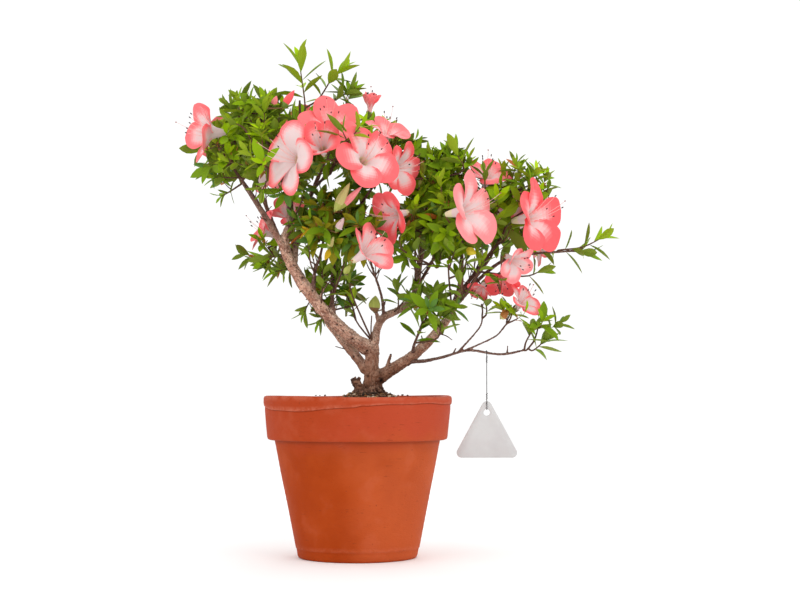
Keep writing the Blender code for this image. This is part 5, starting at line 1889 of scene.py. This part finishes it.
upper, lower = leaf_faces()
print("faces of a leaf:", len(upper + lower))

# %% Leaf pieces
leaf_finishes = {name: Finish(name, colour, 0.5, 0.08) for name, colour in TINTS.items()}
LEAF_PIECES = {"leaves_left": [], "leaves_right": [], "leaves_back": []}
for mass in MASSES:
    side = "leaves_left" if mass.centre[0] < 40 else "leaves_right"
    LEAF_PIECES["leaves_back" if mass.name.startswith("back") else side].append(mass.name)
for name, masses in LEAF_PIECES.items():
    leaves = [leaf for mass in masses for leaf in leaves_of[mass]]
    heap = Heap()
    for leaf, points in zip(leaves, leaf_points(leaves, leaf_rng).tolist()):
        tints = [leaf.tint] * len(upper) + [UNDER.get(leaf.tint, leaf.tint)] * len(lower)
        heap.add(points, upper + lower, tints)
    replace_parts(heap.piece(name, leaf_finishes, "foliage"), *masses)

# %% Shoot stems
stem_heap = Heap()
for shoot, reach in stems:
    if (reach - shoot.tip).length > 1:
        path = [shoot.tip - shoot.heading * 1.0, shoot.tip.lerp(reach, 0.6), reach + shoot.heading * 0.6]
        stem_heap.add(*tube(path, [0.42, 0.36, 0.26], 4), "shoot_green")
stem_heap.piece("green_shoots", {"shoot_green": twig_finishes["shoot_green"]}, "foliage")

# %% [markdown]
# ## Blossoms
#
# A satsuki azalea's flower is one funnel that parts into five broad lobes. Each lobe is a closed sheet
# here: its middle line leaves the throat nearly straight and bends outward, its edges meet its neighbours'
# in the funnel, and beyond that it is rounded, creased along the middle and a little ruffled. The throat is
# white and the margin coral, with twenty-four even steps between them, and each face gets the one that
# suits its distance from the edge.

# %% Petal colours
PETAL_RAMP = [(0.65, 0.535, 0.53), (0.80, 0.42, 0.42), (0.84, 0.27, 0.28), (0.84, 0.165, 0.175),
              (0.83, 0.095, 0.105)]
PETAL_STEPS = 24
PETAL_PAINTED_GLOW = 0.17  # painted glow: a petal gives off a little light of its own, so that it stays bright where it hangs in shade
FLOWER_COLOURS = {"petal_cream": (0.80, 0.70, 0.46), "throat_green": (0.42, 0.46, 0.10),
                  "stamen": (0.86, 0.50, 0.46), "anther": (0.060, 0.020, 0.022),
                  "stigma": (0.30, 0.05, 0.04), "calyx_green": (0.200, 0.290, 0.050),
                  "stalk_brown": (0.230, 0.120, 0.050), "scale_rust": (0.420, 0.150, 0.035),
                  "withered": (0.560, 0.500, 0.180), "seed_yellow": (0.640, 0.520, 0.030)}


def ramp(share):
    """The colour at a share of the way from the white throat to the coral margin."""
    place = share * (len(PETAL_RAMP) - 1)
    first = min(int(place), len(PETAL_RAMP) - 2)
    return tuple(a + (b - a) * (place - first) for a, b in zip(PETAL_RAMP[first], PETAL_RAMP[first + 1]))


def petal_finish(name, colour):
    """A soft petal with a painted glow: a little light of its own."""
    painted_glow = {"Emission Color": (*colour, 1.0), "Emission Strength": PETAL_PAINTED_GLOW}
    return Finish(name, colour, 0.48, 0.25, **painted_glow)


flower_finishes = {}
for step in range(PETAL_STEPS):
    flower_finishes[f"petal_{step}"] = petal_finish(f"petal_{step}", ramp(step / (PETAL_STEPS - 1)))
for name, colour in FLOWER_COLOURS.items():
    flower_finishes[name] = Finish(name, colour, 0.55, 0.3)
print("flower colours:", len(flower_finishes))

# %% Lobe grid
JOINED = 0.38  # the share of a lobe's middle line over which the lobes are one funnel
ROWS = [JOINED * i / 5 for i in range(5)]
ROWS += [JOINED + (1 - JOINED) * (1 - (1 - i / 13) ** 1.7) for i in range(14)]
COLUMNS = 16
ACROSS = COLUMNS + 1  # the points in a row
# A lobe has all its upper points first. The lower ones follow, everywhere but on the edge, which both share.
INSIDE = [row * ACROSS + column for row in range(1, len(ROWS) - 1) for column in range(1, COLUMNS)]
UNDER_POINT = {spot: ACROSS * len(ROWS) + number for number, spot in enumerate(INSIDE)}


def smooth(low, high, value):
    """A soft step: 0 up to low and 1 from high."""
    share = max(0.0, min(1.0, (value - low) / (high - low)))
    return share * share * (3 - 2 * share)


def beyond(row):
    """How far along the free part of a lobe a row is, from 0 where the funnel ends to 1 at the tip."""
    return max(0.0, (row - JOINED) / (1 - JOINED))


print("lobe grid:", len(ROWS), "rows of", ACROSS, "points")

# %% Middle line
PETAL_LENGTH = 0.715  # of a lobe's middle line, as a share of the flower's width


def middle_line(opened, size, extra):
    """Radius, height and lean of a lobe's middle line at each row."""
    def lean_at(share):
        return math.radians(8 + (14 + 76 * opened + extra) * smooth(0.16, 0.80, share))

    radius, height, last = 0.032 * size, 0.0, 0.0
    line = []
    for share in ROWS:
        for step in range(4):
            lean = lean_at(last + (share - last) * (step + 0.5) / 4)
            length = (share - last) / 4 * PETAL_LENGTH * size
            radius += math.sin(lean) * length
            height += math.cos(lean) * length
        last = share
        line.append((radius, height, lean_at(share)))
    return line


print("a wide lobe ends", round(middle_line(1, 70, 0)[-1][0]), "mm from the axis")

# %% Colours of a petal
def coral_step(coral, rng):
    """The petal colour that suits best, at times its neighbour, so that no hard band shows."""
    step = round(coral * (PETAL_STEPS - 1) + rng.uniform(-0.15, 0.15))
    return f"petal_{max(0, min(PETAL_STEPS - 1, step))}"


def upper_colour(coral, row, rng):
    """Green at the bottom of the throat, then cream, then white to coral."""
    if row < 0.30:
        return "throat_green" if row < 0.16 else "petal_cream"
    return coral_step(coral, rng)


def lower_colour(coral, row, rng):
    """Cream at the funnel's foot, then white to coral."""
    return "petal_cream" if row < 0.14 else coral_step(coral, rng)


print("a half coral face:", upper_colour(0.5, 1.0, random.Random(1)))

# %% Lobes
LOBE_HALF = 0.228  # half of a lobe's width, as a share of the flower's
JOINED_HALF = math.radians(37.5)  # half of the turn that a lobe takes of the funnel, with a little overlap
PETAL_THICKNESS = 0.35
PALEST = 0.06  # the least coral that a petal has beyond its throat
Axes = namedtuple("Axes", "root across other facing")


class Lobe:
    """One of a blossom's five lobes, with its own width, cup, ruffle and turn."""

    def __init__(self, blossom, number, rng):
        self.blossom, self.size = blossom, blossom.width
        self.line = middle_line(blossom.opened, self.size, rng.uniform(-8, 8))
        self.angle = math.radians(72 * number + 18 + blossom.turn + rng.uniform(-3, 3))
        self.joined_half = next(r for (r, _, _), row in zip(self.line, ROWS) if row >= JOINED) * JOINED_HALF
        self.widest = LOBE_HALF * self.size * rng.uniform(0.93, 1.06) * (0.72 + 0.28 * blossom.opened)
        self.cup, self.bow = rng.uniform(-0.02, 0.05), rng.uniform(-0.02, 0.02)
        self.phase = rng.uniform(0, 6.28)
        self.seed = Vector((rng.uniform(0, 50), rng.uniform(0, 50), number))

    def half_width(self, radius, free):
        """Half of the width at a row: the funnel's share, then widening, then rounded off."""
        if free <= 0:
            return radius * JOINED_HALF
        rounded = math.sqrt(max(0.02, 1 - max(0.0, (free - 0.42) / 0.585) ** 2.3))
        widening = math.sin(math.pi / 2 * min(1, free / 0.50))
        return (self.joined_half + (self.widest - self.joined_half) * widening) * rounded

    def lift(self, u, row, half, flat):
        """How far a point is raised from the flat lobe by its cup, ruffle, waves, bow and middle crease."""
        v = u * half / max(self.widest, half)
        free = beyond(row)
        ruffle = 0.016 * v * v * math.sin(row * 13 + self.phase + u * 1.5)
        wave = 0.030 * abs(v) ** 1.5 * noise.noise(self.seed + Vector((u * 1.6, row * 5, 0)))
        bow = self.bow * math.sin(math.pi * free)
        raised = flat * self.size * (0.034 * v + self.cup * v * v + ruffle + wave + bow)
        return raised - flat * self.size * 0.012 * math.exp(-(u / 0.14) ** 2) * (1 - free ** 4)

    def upper_and_lower(self, u, row, radius, height, lean):
        """A point of the upper side and the one under it, with the blossom's axis as Z. u runs from -1 at
        one edge to 1 at the other."""
        free, flat = beyond(row), smooth(JOINED - 0.04, JOINED + 0.3, row)
        half = self.half_width(radius, free)
        turn = min(1.2, half / radius) * u
        round_throat = Vector((radius * math.cos(turn), radius * math.sin(turn)))
        out = round_throat.lerp(Vector((radius, half * u)), flat)
        lift = self.lift(u, row, half, flat)
        shorten = self.size * 0.008 * u * u * free ** 5
        ahead = height + math.sin(lean) * lift - math.cos(lean) * shorten
        aside = out.x - math.cos(lean) * lift - math.sin(lean) * shorten
        flare, inward = turn * (1 - flat), -math.cos(lean)
        normal = Vector((inward * math.cos(flare), inward * math.sin(flare), math.sin(lean)))
        upper = Vector((aside, out.y, ahead))
        return upper, upper - normal * PETAL_THICKNESS

    def points(self, axes):
        """All points of the lobe, turned to its place round the blossom's axes."""
        sides = [], []
        for row, (radius, height, lean) in zip(ROWS, self.line):
            for column in range(ACROSS):
                u = 2 * column / COLUMNS - 1
                for place, side in zip(self.upper_and_lower(u, row, radius, height, lean), sides):
                    x = place.x * math.cos(self.angle) - place.y * math.sin(self.angle)
                    y = place.x * math.sin(self.angle) + place.y * math.cos(self.angle)
                    side.append(axes.root + axes.across * x + axes.other * y + axes.facing * place.z)
        upper, lower = sides
        return upper + [lower[spot] for spot in INSIDE]

    def coral(self, u, row):
        """How coral the upper side is: more towards the edge, in streaks."""
        near = 1 - (1 - u ** 2.6 * smooth(JOINED - 0.1, JOINED + 0.25, row)) * (1 - beyond(row) ** 1.9)
        streak = noise.noise(self.seed + Vector((u * 4, row * 2.5, 7)))
        white = self.blossom.white
        return max(PALEST, smooth(white - 0.34, white + 0.26, near + 0.10 * streak) * self.blossom.depth)

    def faces(self, rng):
        """The faces of both sides, with a colour for each."""
        faces, colours = [], []
        for cell, (a, b, e, d) in enumerate(quads(len(ROWS), ACROSS, columns_meet=False)):
            first, column = divmod(cell, COLUMNS)
            row = (ROWS[first] + ROWS[first + 1]) / 2
            coral = self.coral(abs(2 * (column + 0.5) / COLUMNS - 1), row)
            faces += [(a, b, e, d), tuple(UNDER_POINT.get(spot, spot) for spot in (d, e, b, a))]
            colours += [upper_colour(coral, row, rng), lower_colour(coral * 0.86, row, rng)]
        return faces, colours


print("points of a lobe:", ACROSS * len(ROWS) + len(INSIDE))

# %% Whole flowers
SCALE_WIDTH = 0.42  # of bud scales and calyx teeth, as a share of their length


def flower_axes(blossom):
    """Where a flower's petals leave its stalk, two ways across it, and the way it faces."""
    facing = Vector(blossom.facing).normalized()
    across = facing.cross(Vector((0, 0, 1)))
    across = across.normalized() if across.length > 0.1 else Vector((1, 0, 0))
    return Axes(throat_root(blossom), across, facing.cross(across), facing)


def curved(start, way, bend, length, steps):
    """A path of the given length that starts along way and bends evenly."""
    path, at, heading = [start], start, way.normalized()
    for _ in range(steps):
        at = at + heading * (length / steps)
        path.append(at)
        heading = (heading + bend / steps).normalized()
    return path


def turned_solid(start, way, shape, sides):
    """A round solid along way from start. shape tells how far along each ring lies, and its radius."""
    return tube([start + way * along for along, _ in shape], [radius for _, radius in shape], sides)


def add_stamens(heap, size, axes, rng):
    """Five stamens with dark anthers and the longer style, all swept upwards."""
    root, across, other, facing = axes
    up = Vector((0, 0, 1)) - facing * facing.z
    for number in range(6):
        style = number == 5
        turn = number * 1.257 + 0.4
        aside = (across * math.cos(turn) + other * math.sin(turn)) * 0.18
        aside = aside * (0.3 if style else 1) - up * 0.10
        length = size * (0.80 if style else rng.uniform(0.54, 0.68)) * (1 - 0.4 * max(0, facing.y))
        path = curved(root + facing * 2, facing + aside, up * 0.75 + aside * 0.8, length, 8)
        heap.add(*round_rod(path, (0.34, 0.26, 0.20), 4), "stamen")
        end, way = path[-1], (path[-1] - path[-2]).normalized()
        if style:
            heap.add(*turned_solid(end, way, [(-0.3, 0.4), (0.4, 0.8), (0.9, 0.4)], 6), "stigma")
        else:
            anther = [(-0.4, 0.3), (0.5, 0.62), (1.5, 0.58), (2.1, 0.25)]
            heap.add(*turned_solid(end, way, anther, 6), "anther")


def add_flower(heap, blossom, rng):
    """An open flower: its five lobes and what stands in it."""
    axes = flower_axes(blossom)
    for number in range(5):
        lobe = Lobe(blossom, number, rng)
        heap.add(lobe.points(axes), *lobe.faces(rng))
    add_stamens(heap, blossom.width, axes, rng)


def add_calyx(heap, scales, start, root, facing, rng):
    """The green cup behind a flower, its stalk, and the green and rusty scales round the cup."""
    stalk = [start, start.lerp(root, 0.5) - Vector((0, 0, 1)), root - facing * 2]
    heap.add(*tube(stalk, [1.0, 0.8, 0.9], 6), "stalk_brown")
    cup = [(-3.5, 0.7), (-1.5, 2.0), (1.5, 2.7), (4, 2.6)]
    heap.add(*turned_solid(root, facing, cup, 10), "calyx_green")
    for k in range(5):
        out = square_out(facing, k * math.tau / 5 + rng.uniform(-0.2, 0.2))
        foot = root - facing * rng.uniform(1, 4)
        along = (facing * 0.9 + out * 0.45).normalized()
        colour = "calyx_green" if k % 2 else "scale_rust"
        scales.append(Leaf(foot, along, out, rng.uniform(7, 11), SCALE_WIDTH, colour))


flower_rng = random.Random(77)
flowers, scales = Heap(), []
for part in crown:
    for start, root, facing in part.stalks:
        add_calyx(flowers, scales, start, root, facing, flower_rng)
for blossom in BLOSSOMS:
    add_flower(flowers, blossom, flower_rng)
print("petals and stamens:", len(flowers.faces), "faces")

# %% Buds
# foot, tip, greatest radius, the colours of its foot and its tip
Bud = namedtuple("Bud", "foot tip radius foot_colour tip_colour")
BUDS = [Bud(*row) for row in [
    ((-74, -42, 447), (-62, -44, 465), 3.6, "calyx_green", "petal_23"),
    ((-84, -36, 449), (-80, -40, 460), 3.0, "calyx_green", "petal_14"),
    ((-21, -66, 341), (-6, -72, 369), 4.2, "throat_green", "withered"),
    ((-18, -64, 343), (6, -68, 366), 3.2, "throat_green", "petal_12"),
    ((-20, -56, 322), (-12, -62, 336), 3.2, "calyx_green", "petal_2"),
    ((-28, -50, 306), (-22, -56, 318), 2.8, "calyx_green", "withered"),
    ((-12, -46, 282), (-6, -52, 290), 3.0, "throat_green", "throat_green"),
    ((16.5, -3, 246), (18, -4, 263), 5.6, "stalk_brown", "throat_green"),
    ((106, -60, 350), (112, -64, 361), 2.8, "calyx_green", "petal_18"),
    ((107, -62, 305), (117, -66, 300), 3.8, "seed_yellow", "seed_yellow"),
    ((142, -38, 238), (150, -42, 246), 3.6, "withered", "scale_rust"),
    ((140, 40, 380), (146, 44, 392), 3.0, "calyx_green", "petal_22"),
    ((-60, 84, 440), (-58, 90, 456), 3.2, "calyx_green", "petal_23"),
]]
BUD_RINGS, BUD_SIDES = 14, 20
FOOT_RINGS = 3  # the rings of a bud that have its foot's colour


def bud_points(bud, way):
    """A spindle's foot, its rings with five twisted folds, and its tip."""
    foot, tip = Vector(bud.foot), Vector(bud.tip)
    side = way.orthogonal().normalized()
    other = way.cross(side)
    points = [foot]
    for i in range(1, BUD_RINGS):
        share = i / BUD_RINGS
        radius = bud.radius * math.sin(math.pi * share ** 0.8) ** 0.8
        for k in range(BUD_SIDES):
            turn = math.tau * k / BUD_SIDES
            fold = 1 + 0.13 * math.sin(5 * turn + 3.5 * share)
            out = side * math.cos(turn) + other * math.sin(turn)
            points.append(foot.lerp(tip, share) + out * radius * fold)
    return [*points, tip]


def add_bud(heap, scales, bud, rng):
    """A furled bud with four scales at its foot."""
    way = (Vector(bud.tip) - Vector(bud.foot)).normalized()
    points = bud_points(bud, way)
    last = len(points) - 1
    faces, colours = [], []
    for k in range(BUD_SIDES):
        after = (k + 1) % BUD_SIDES
        faces += [(0, 1 + after, 1 + k), (last, last - BUD_SIDES + k, last - BUD_SIDES + after)]
        colours += [bud.foot_colour, bud.tip_colour]
    for number, face in enumerate(quads(BUD_RINGS - 1, BUD_SIDES)):
        faces.append(tuple(1 + corner for corner in face))
        colours.append(bud.foot_colour if number < FOOT_RINGS * BUD_SIDES else bud.tip_colour)
    heap.add(points, faces, colours)
    for k in range(4):
        out = square_out(way, k * math.tau / 4 + 0.3)
        along = (way + out * 0.35).normalized()
        colour = "scale_rust" if k % 2 else "calyx_green"
        scales.append(Leaf(points[0] - way, along, out, rng.uniform(6, 9), SCALE_WIDTH, colour))


def add_scales(heap, scales):
    """Bud scales and calyx teeth: small leaves, each in one colour."""
    upper, lower = leaf_faces()
    for scale, points in zip(scales, leaf_points(scales, random.Random(5))):
        heap.add([Vector(p) for p in points], upper + lower, scale.tint)


def nearest_wood(point):
    """The end of a twig or the spot on a limb that is nearest."""
    spots = [spot for part in crown for twig in part.twigs for spot in (twig.root, twig.tip)]
    spots += [spot for path in fine_paths.values() for spot in path]
    return min(spots, key=lambda spot: (spot - point).length)


for bud in BUDS:
    foot = Vector(bud.foot)
    start = nearest_wood(foot)
    add_bud(flowers, scales, bud, flower_rng)
    flowers.add(*tube([start, start.lerp(foot, 0.5), foot], [0.8, 0.7, 0.8], 5), "stalk_brown")
add_scales(flowers, scales)
flowers.piece("blossoms", flower_finishes, "foliage")

# %% [markdown]
# ## The tag and its wire
#
# A punched triangle of pale grey plastic sheet hangs from the low branch by a thin steel wire. The wire
# goes over the branch, is twisted round itself for a few turns, drops straight, hooks through the hole and
# is twisted again. The plate is flat, its edges are softly rounded, and it carries no print.

# %% Tag
TAG_X = 129.0  # where the tag hangs from the low branch
TAG_WIDTH, TAG_HEIGHT, TAG_CORNER, TAG_THICKNESS = 60.0, 56.0, 5.0, 1.2
TAG_HOLE_RADIUS, TAG_HOLE_BELOW_TOP = 3.3, 11.0
TAG_EDGE = 0.3  # how far its edges are softened
WIRE_LENGTH, WIRE_RADIUS = 56.0, 0.42
WIRE_CLEAR = 0.3  # the room between the wire and what it goes round
low_branch = LIMBS["branch_low_right"]
hang_spots = [point_at(paths[low_branch.name], i / 200) for i in range(201)]
branch = min(hang_spots, key=lambda p: abs(p.x - TAG_X))
hole = Vector((branch.x, branch.y, branch.z - WIRE_LENGTH - TAG_HOLE_RADIUS))
tag_top = hole.z + TAG_HOLE_BELOW_TOP


def tag_outline(inset):
    """The rounded triangle, as points round the hole's middle, inset by a little for a softened edge."""
    half = TAG_WIDTH / 2 - TAG_CORNER
    low, high = TAG_HOLE_BELOW_TOP - TAG_HEIGHT + TAG_CORNER, TAG_HOLE_BELOW_TOP - TAG_CORNER
    corners = [Vector((half, low)), Vector((0, high)), Vector((-half, low))]
    outline = []
    for i, corner in enumerate(corners):
        first = (corner - corners[i - 1]).normalized()
        then = (corners[(i + 1) % 3] - corner).normalized()
        start = math.atan2(-first.x, first.y)
        turn = (math.atan2(-then.x, then.y) - start) % math.tau
        for step in range(13):
            angle = start + turn * step / 12
            outline.append(corner + Vector((math.cos(angle), math.sin(angle))) * (TAG_CORNER - inset))
        following = corners[(i + 1) % 3] + (outline[-1] - corner)
        outline += [outline[-1].lerp(following, step / 6) for step in range(1, 6)]
    return outline


def tag_plate():
    """The plate: rings of points that go from its hole out over one face, and back over the other."""
    outline, inset = tag_outline(0), tag_outline(TAG_EDGE)
    around = [p.normalized() for p in outline]
    rim = [p * TAG_HOLE_RADIUS for p in around]
    mouth = [p * (TAG_HOLE_RADIUS + TAG_EDGE) for p in around]
    flat, edge = TAG_THICKNESS / 2, TAG_THICKNESS / 2 - TAG_EDGE
    rings = [(mouth, -flat), (inset, -flat), (outline, -edge), (outline, edge),
             (inset, flat), (mouth, flat), (rim, edge), (rim, -edge)]
    points = [(hole.x + p.x, hole.y + y, hole.z + p.y) for ring, y in rings for p in ring]
    return points, list(quads(len(rings), len(outline), rows_meet=True))


def grey_plastic():
    """Pale grey sheet with a faint cloudiness and a few fine scuffs."""
    finish = Finish("grey_plastic", (0.60, 0.585, 0.58), 0.42, 0.4)
    cloud = finish.step(finish.noise(18, 3), 0.35, 0.7)
    scuffs = finish.step(finish.noise(1.6, 4, 0.7, finish.place((1, 1, 6))), 0.60, 0.75)
    colour = finish.mix(cloud, (0.60, 0.588, 0.585), (0.565, 0.545, 0.545))
    colour = finish.mix(scuffs * 0.35, colour, (0.66, 0.65, 0.65))
    finish.paint(**{"Base Color": colour, "Roughness": 0.36 + 0.10 * cloud + 0.16 * scuffs})
    return finish


tag = piece("tag_plate", *tag_plate(), [grey_plastic()], "tag_plastic")
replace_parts(tag, "tag")


# %% Wire
TWIST_TURNS = 3
TWIST_STEPS = 30


def coil(middle, low, high, start):
    """Points that wind round an upright line from one height to the other."""
    radius = WIRE_RADIUS * 1.15
    points = []
    for step in range(TWIST_STEPS + 1):
        share = step / TWIST_STEPS
        angle = start + math.tau * TWIST_TURNS * share
        x, y = middle.x + math.cos(angle) * radius, middle.y + math.sin(angle) * radius
        points.append(Vector((x, y, low + (high - low) * share)))
    return points


def wire_path():
    """The whole wire: the upper twist, the loop over the branch, the drop, the hook and the lower twist."""
    share = next(i for i, spot in enumerate(hang_spots) if spot is branch) / 200
    girth = point_at([Vector((r, 0, 0)) for r in low_branch.radii], share).x
    loop = girth + WIRE_CLEAR + WIRE_RADIUS
    leg = TAG_THICKNESS / 2 + WIRE_CLEAR + WIRE_RADIUS
    line = Vector((hole.x, hole.y - leg, 0))
    upper = coil(line, branch.z - loop - 8, branch.z - loop - 2.5, 0.0)
    over = [branch + Vector((0, math.cos(a) * loop, math.sin(a) * loop))
            for a in (math.radians(-40 + 27 * i) for i in range(10))]
    under = hole.z + TAG_HOLE_RADIUS - WIRE_CLEAR - WIRE_RADIUS
    x, y = line.x, line.y
    drop = [(x, y, branch.z - loop - 2), (x, y, branch.z - 20), (x, y, tag_top + 4), (x, y, under + 1.6)]
    hook = [(hole.x, hole.y - leg * 0.6, under + 0.2), (hole.x, hole.y + leg * 0.6, under + 0.2),
            (hole.x, hole.y + leg, under + 1.6), (hole.x, hole.y + leg, tag_top - 1)]
    lower = coil(line, tag_top + 1.5, tag_top + 8, math.pi / 2)
    return smooth_path(upper + over + drop + hook + lower, 3)


def steel_wire():
    """Thin galvanised wire: grey, a little duller and browner in places."""
    finish = Finish("steel_wire", (0.13, 0.125, 0.125), 0.35, Metallic=1.0)
    dull = finish.step(finish.noise(4, 3), 0.4, 0.65)
    colour = finish.mix(dull, (0.15, 0.145, 0.145), (0.085, 0.078, 0.075))
    finish.paint(**{"Base Color": colour, "Roughness": 0.30 + 0.25 * dull})
    return finish


wire_line = wire_path()
wire = piece("tag_wire_twist", *tube(wire_line, [WIRE_RADIUS] * len(wire_line), 8), [steel_wire()], "wire")
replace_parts(wire, "tag_wire")

# %% [markdown]
# ## The end
#
# The sizes of the solids and of the dressed plant are printed, to show whether the looks stay inside the
# size that the solids give.

# %% Sizes
visual_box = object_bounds()
reach = {"cad": [list(corner) for corner in cad_box], "visual": [list(corner) for corner in visual_box]}
print("solids reach", [[round(v, 3) for v in corner] for corner in cad_box])
print("pieces reach", [[round(v, 3) for v in corner] for corner in visual_box])
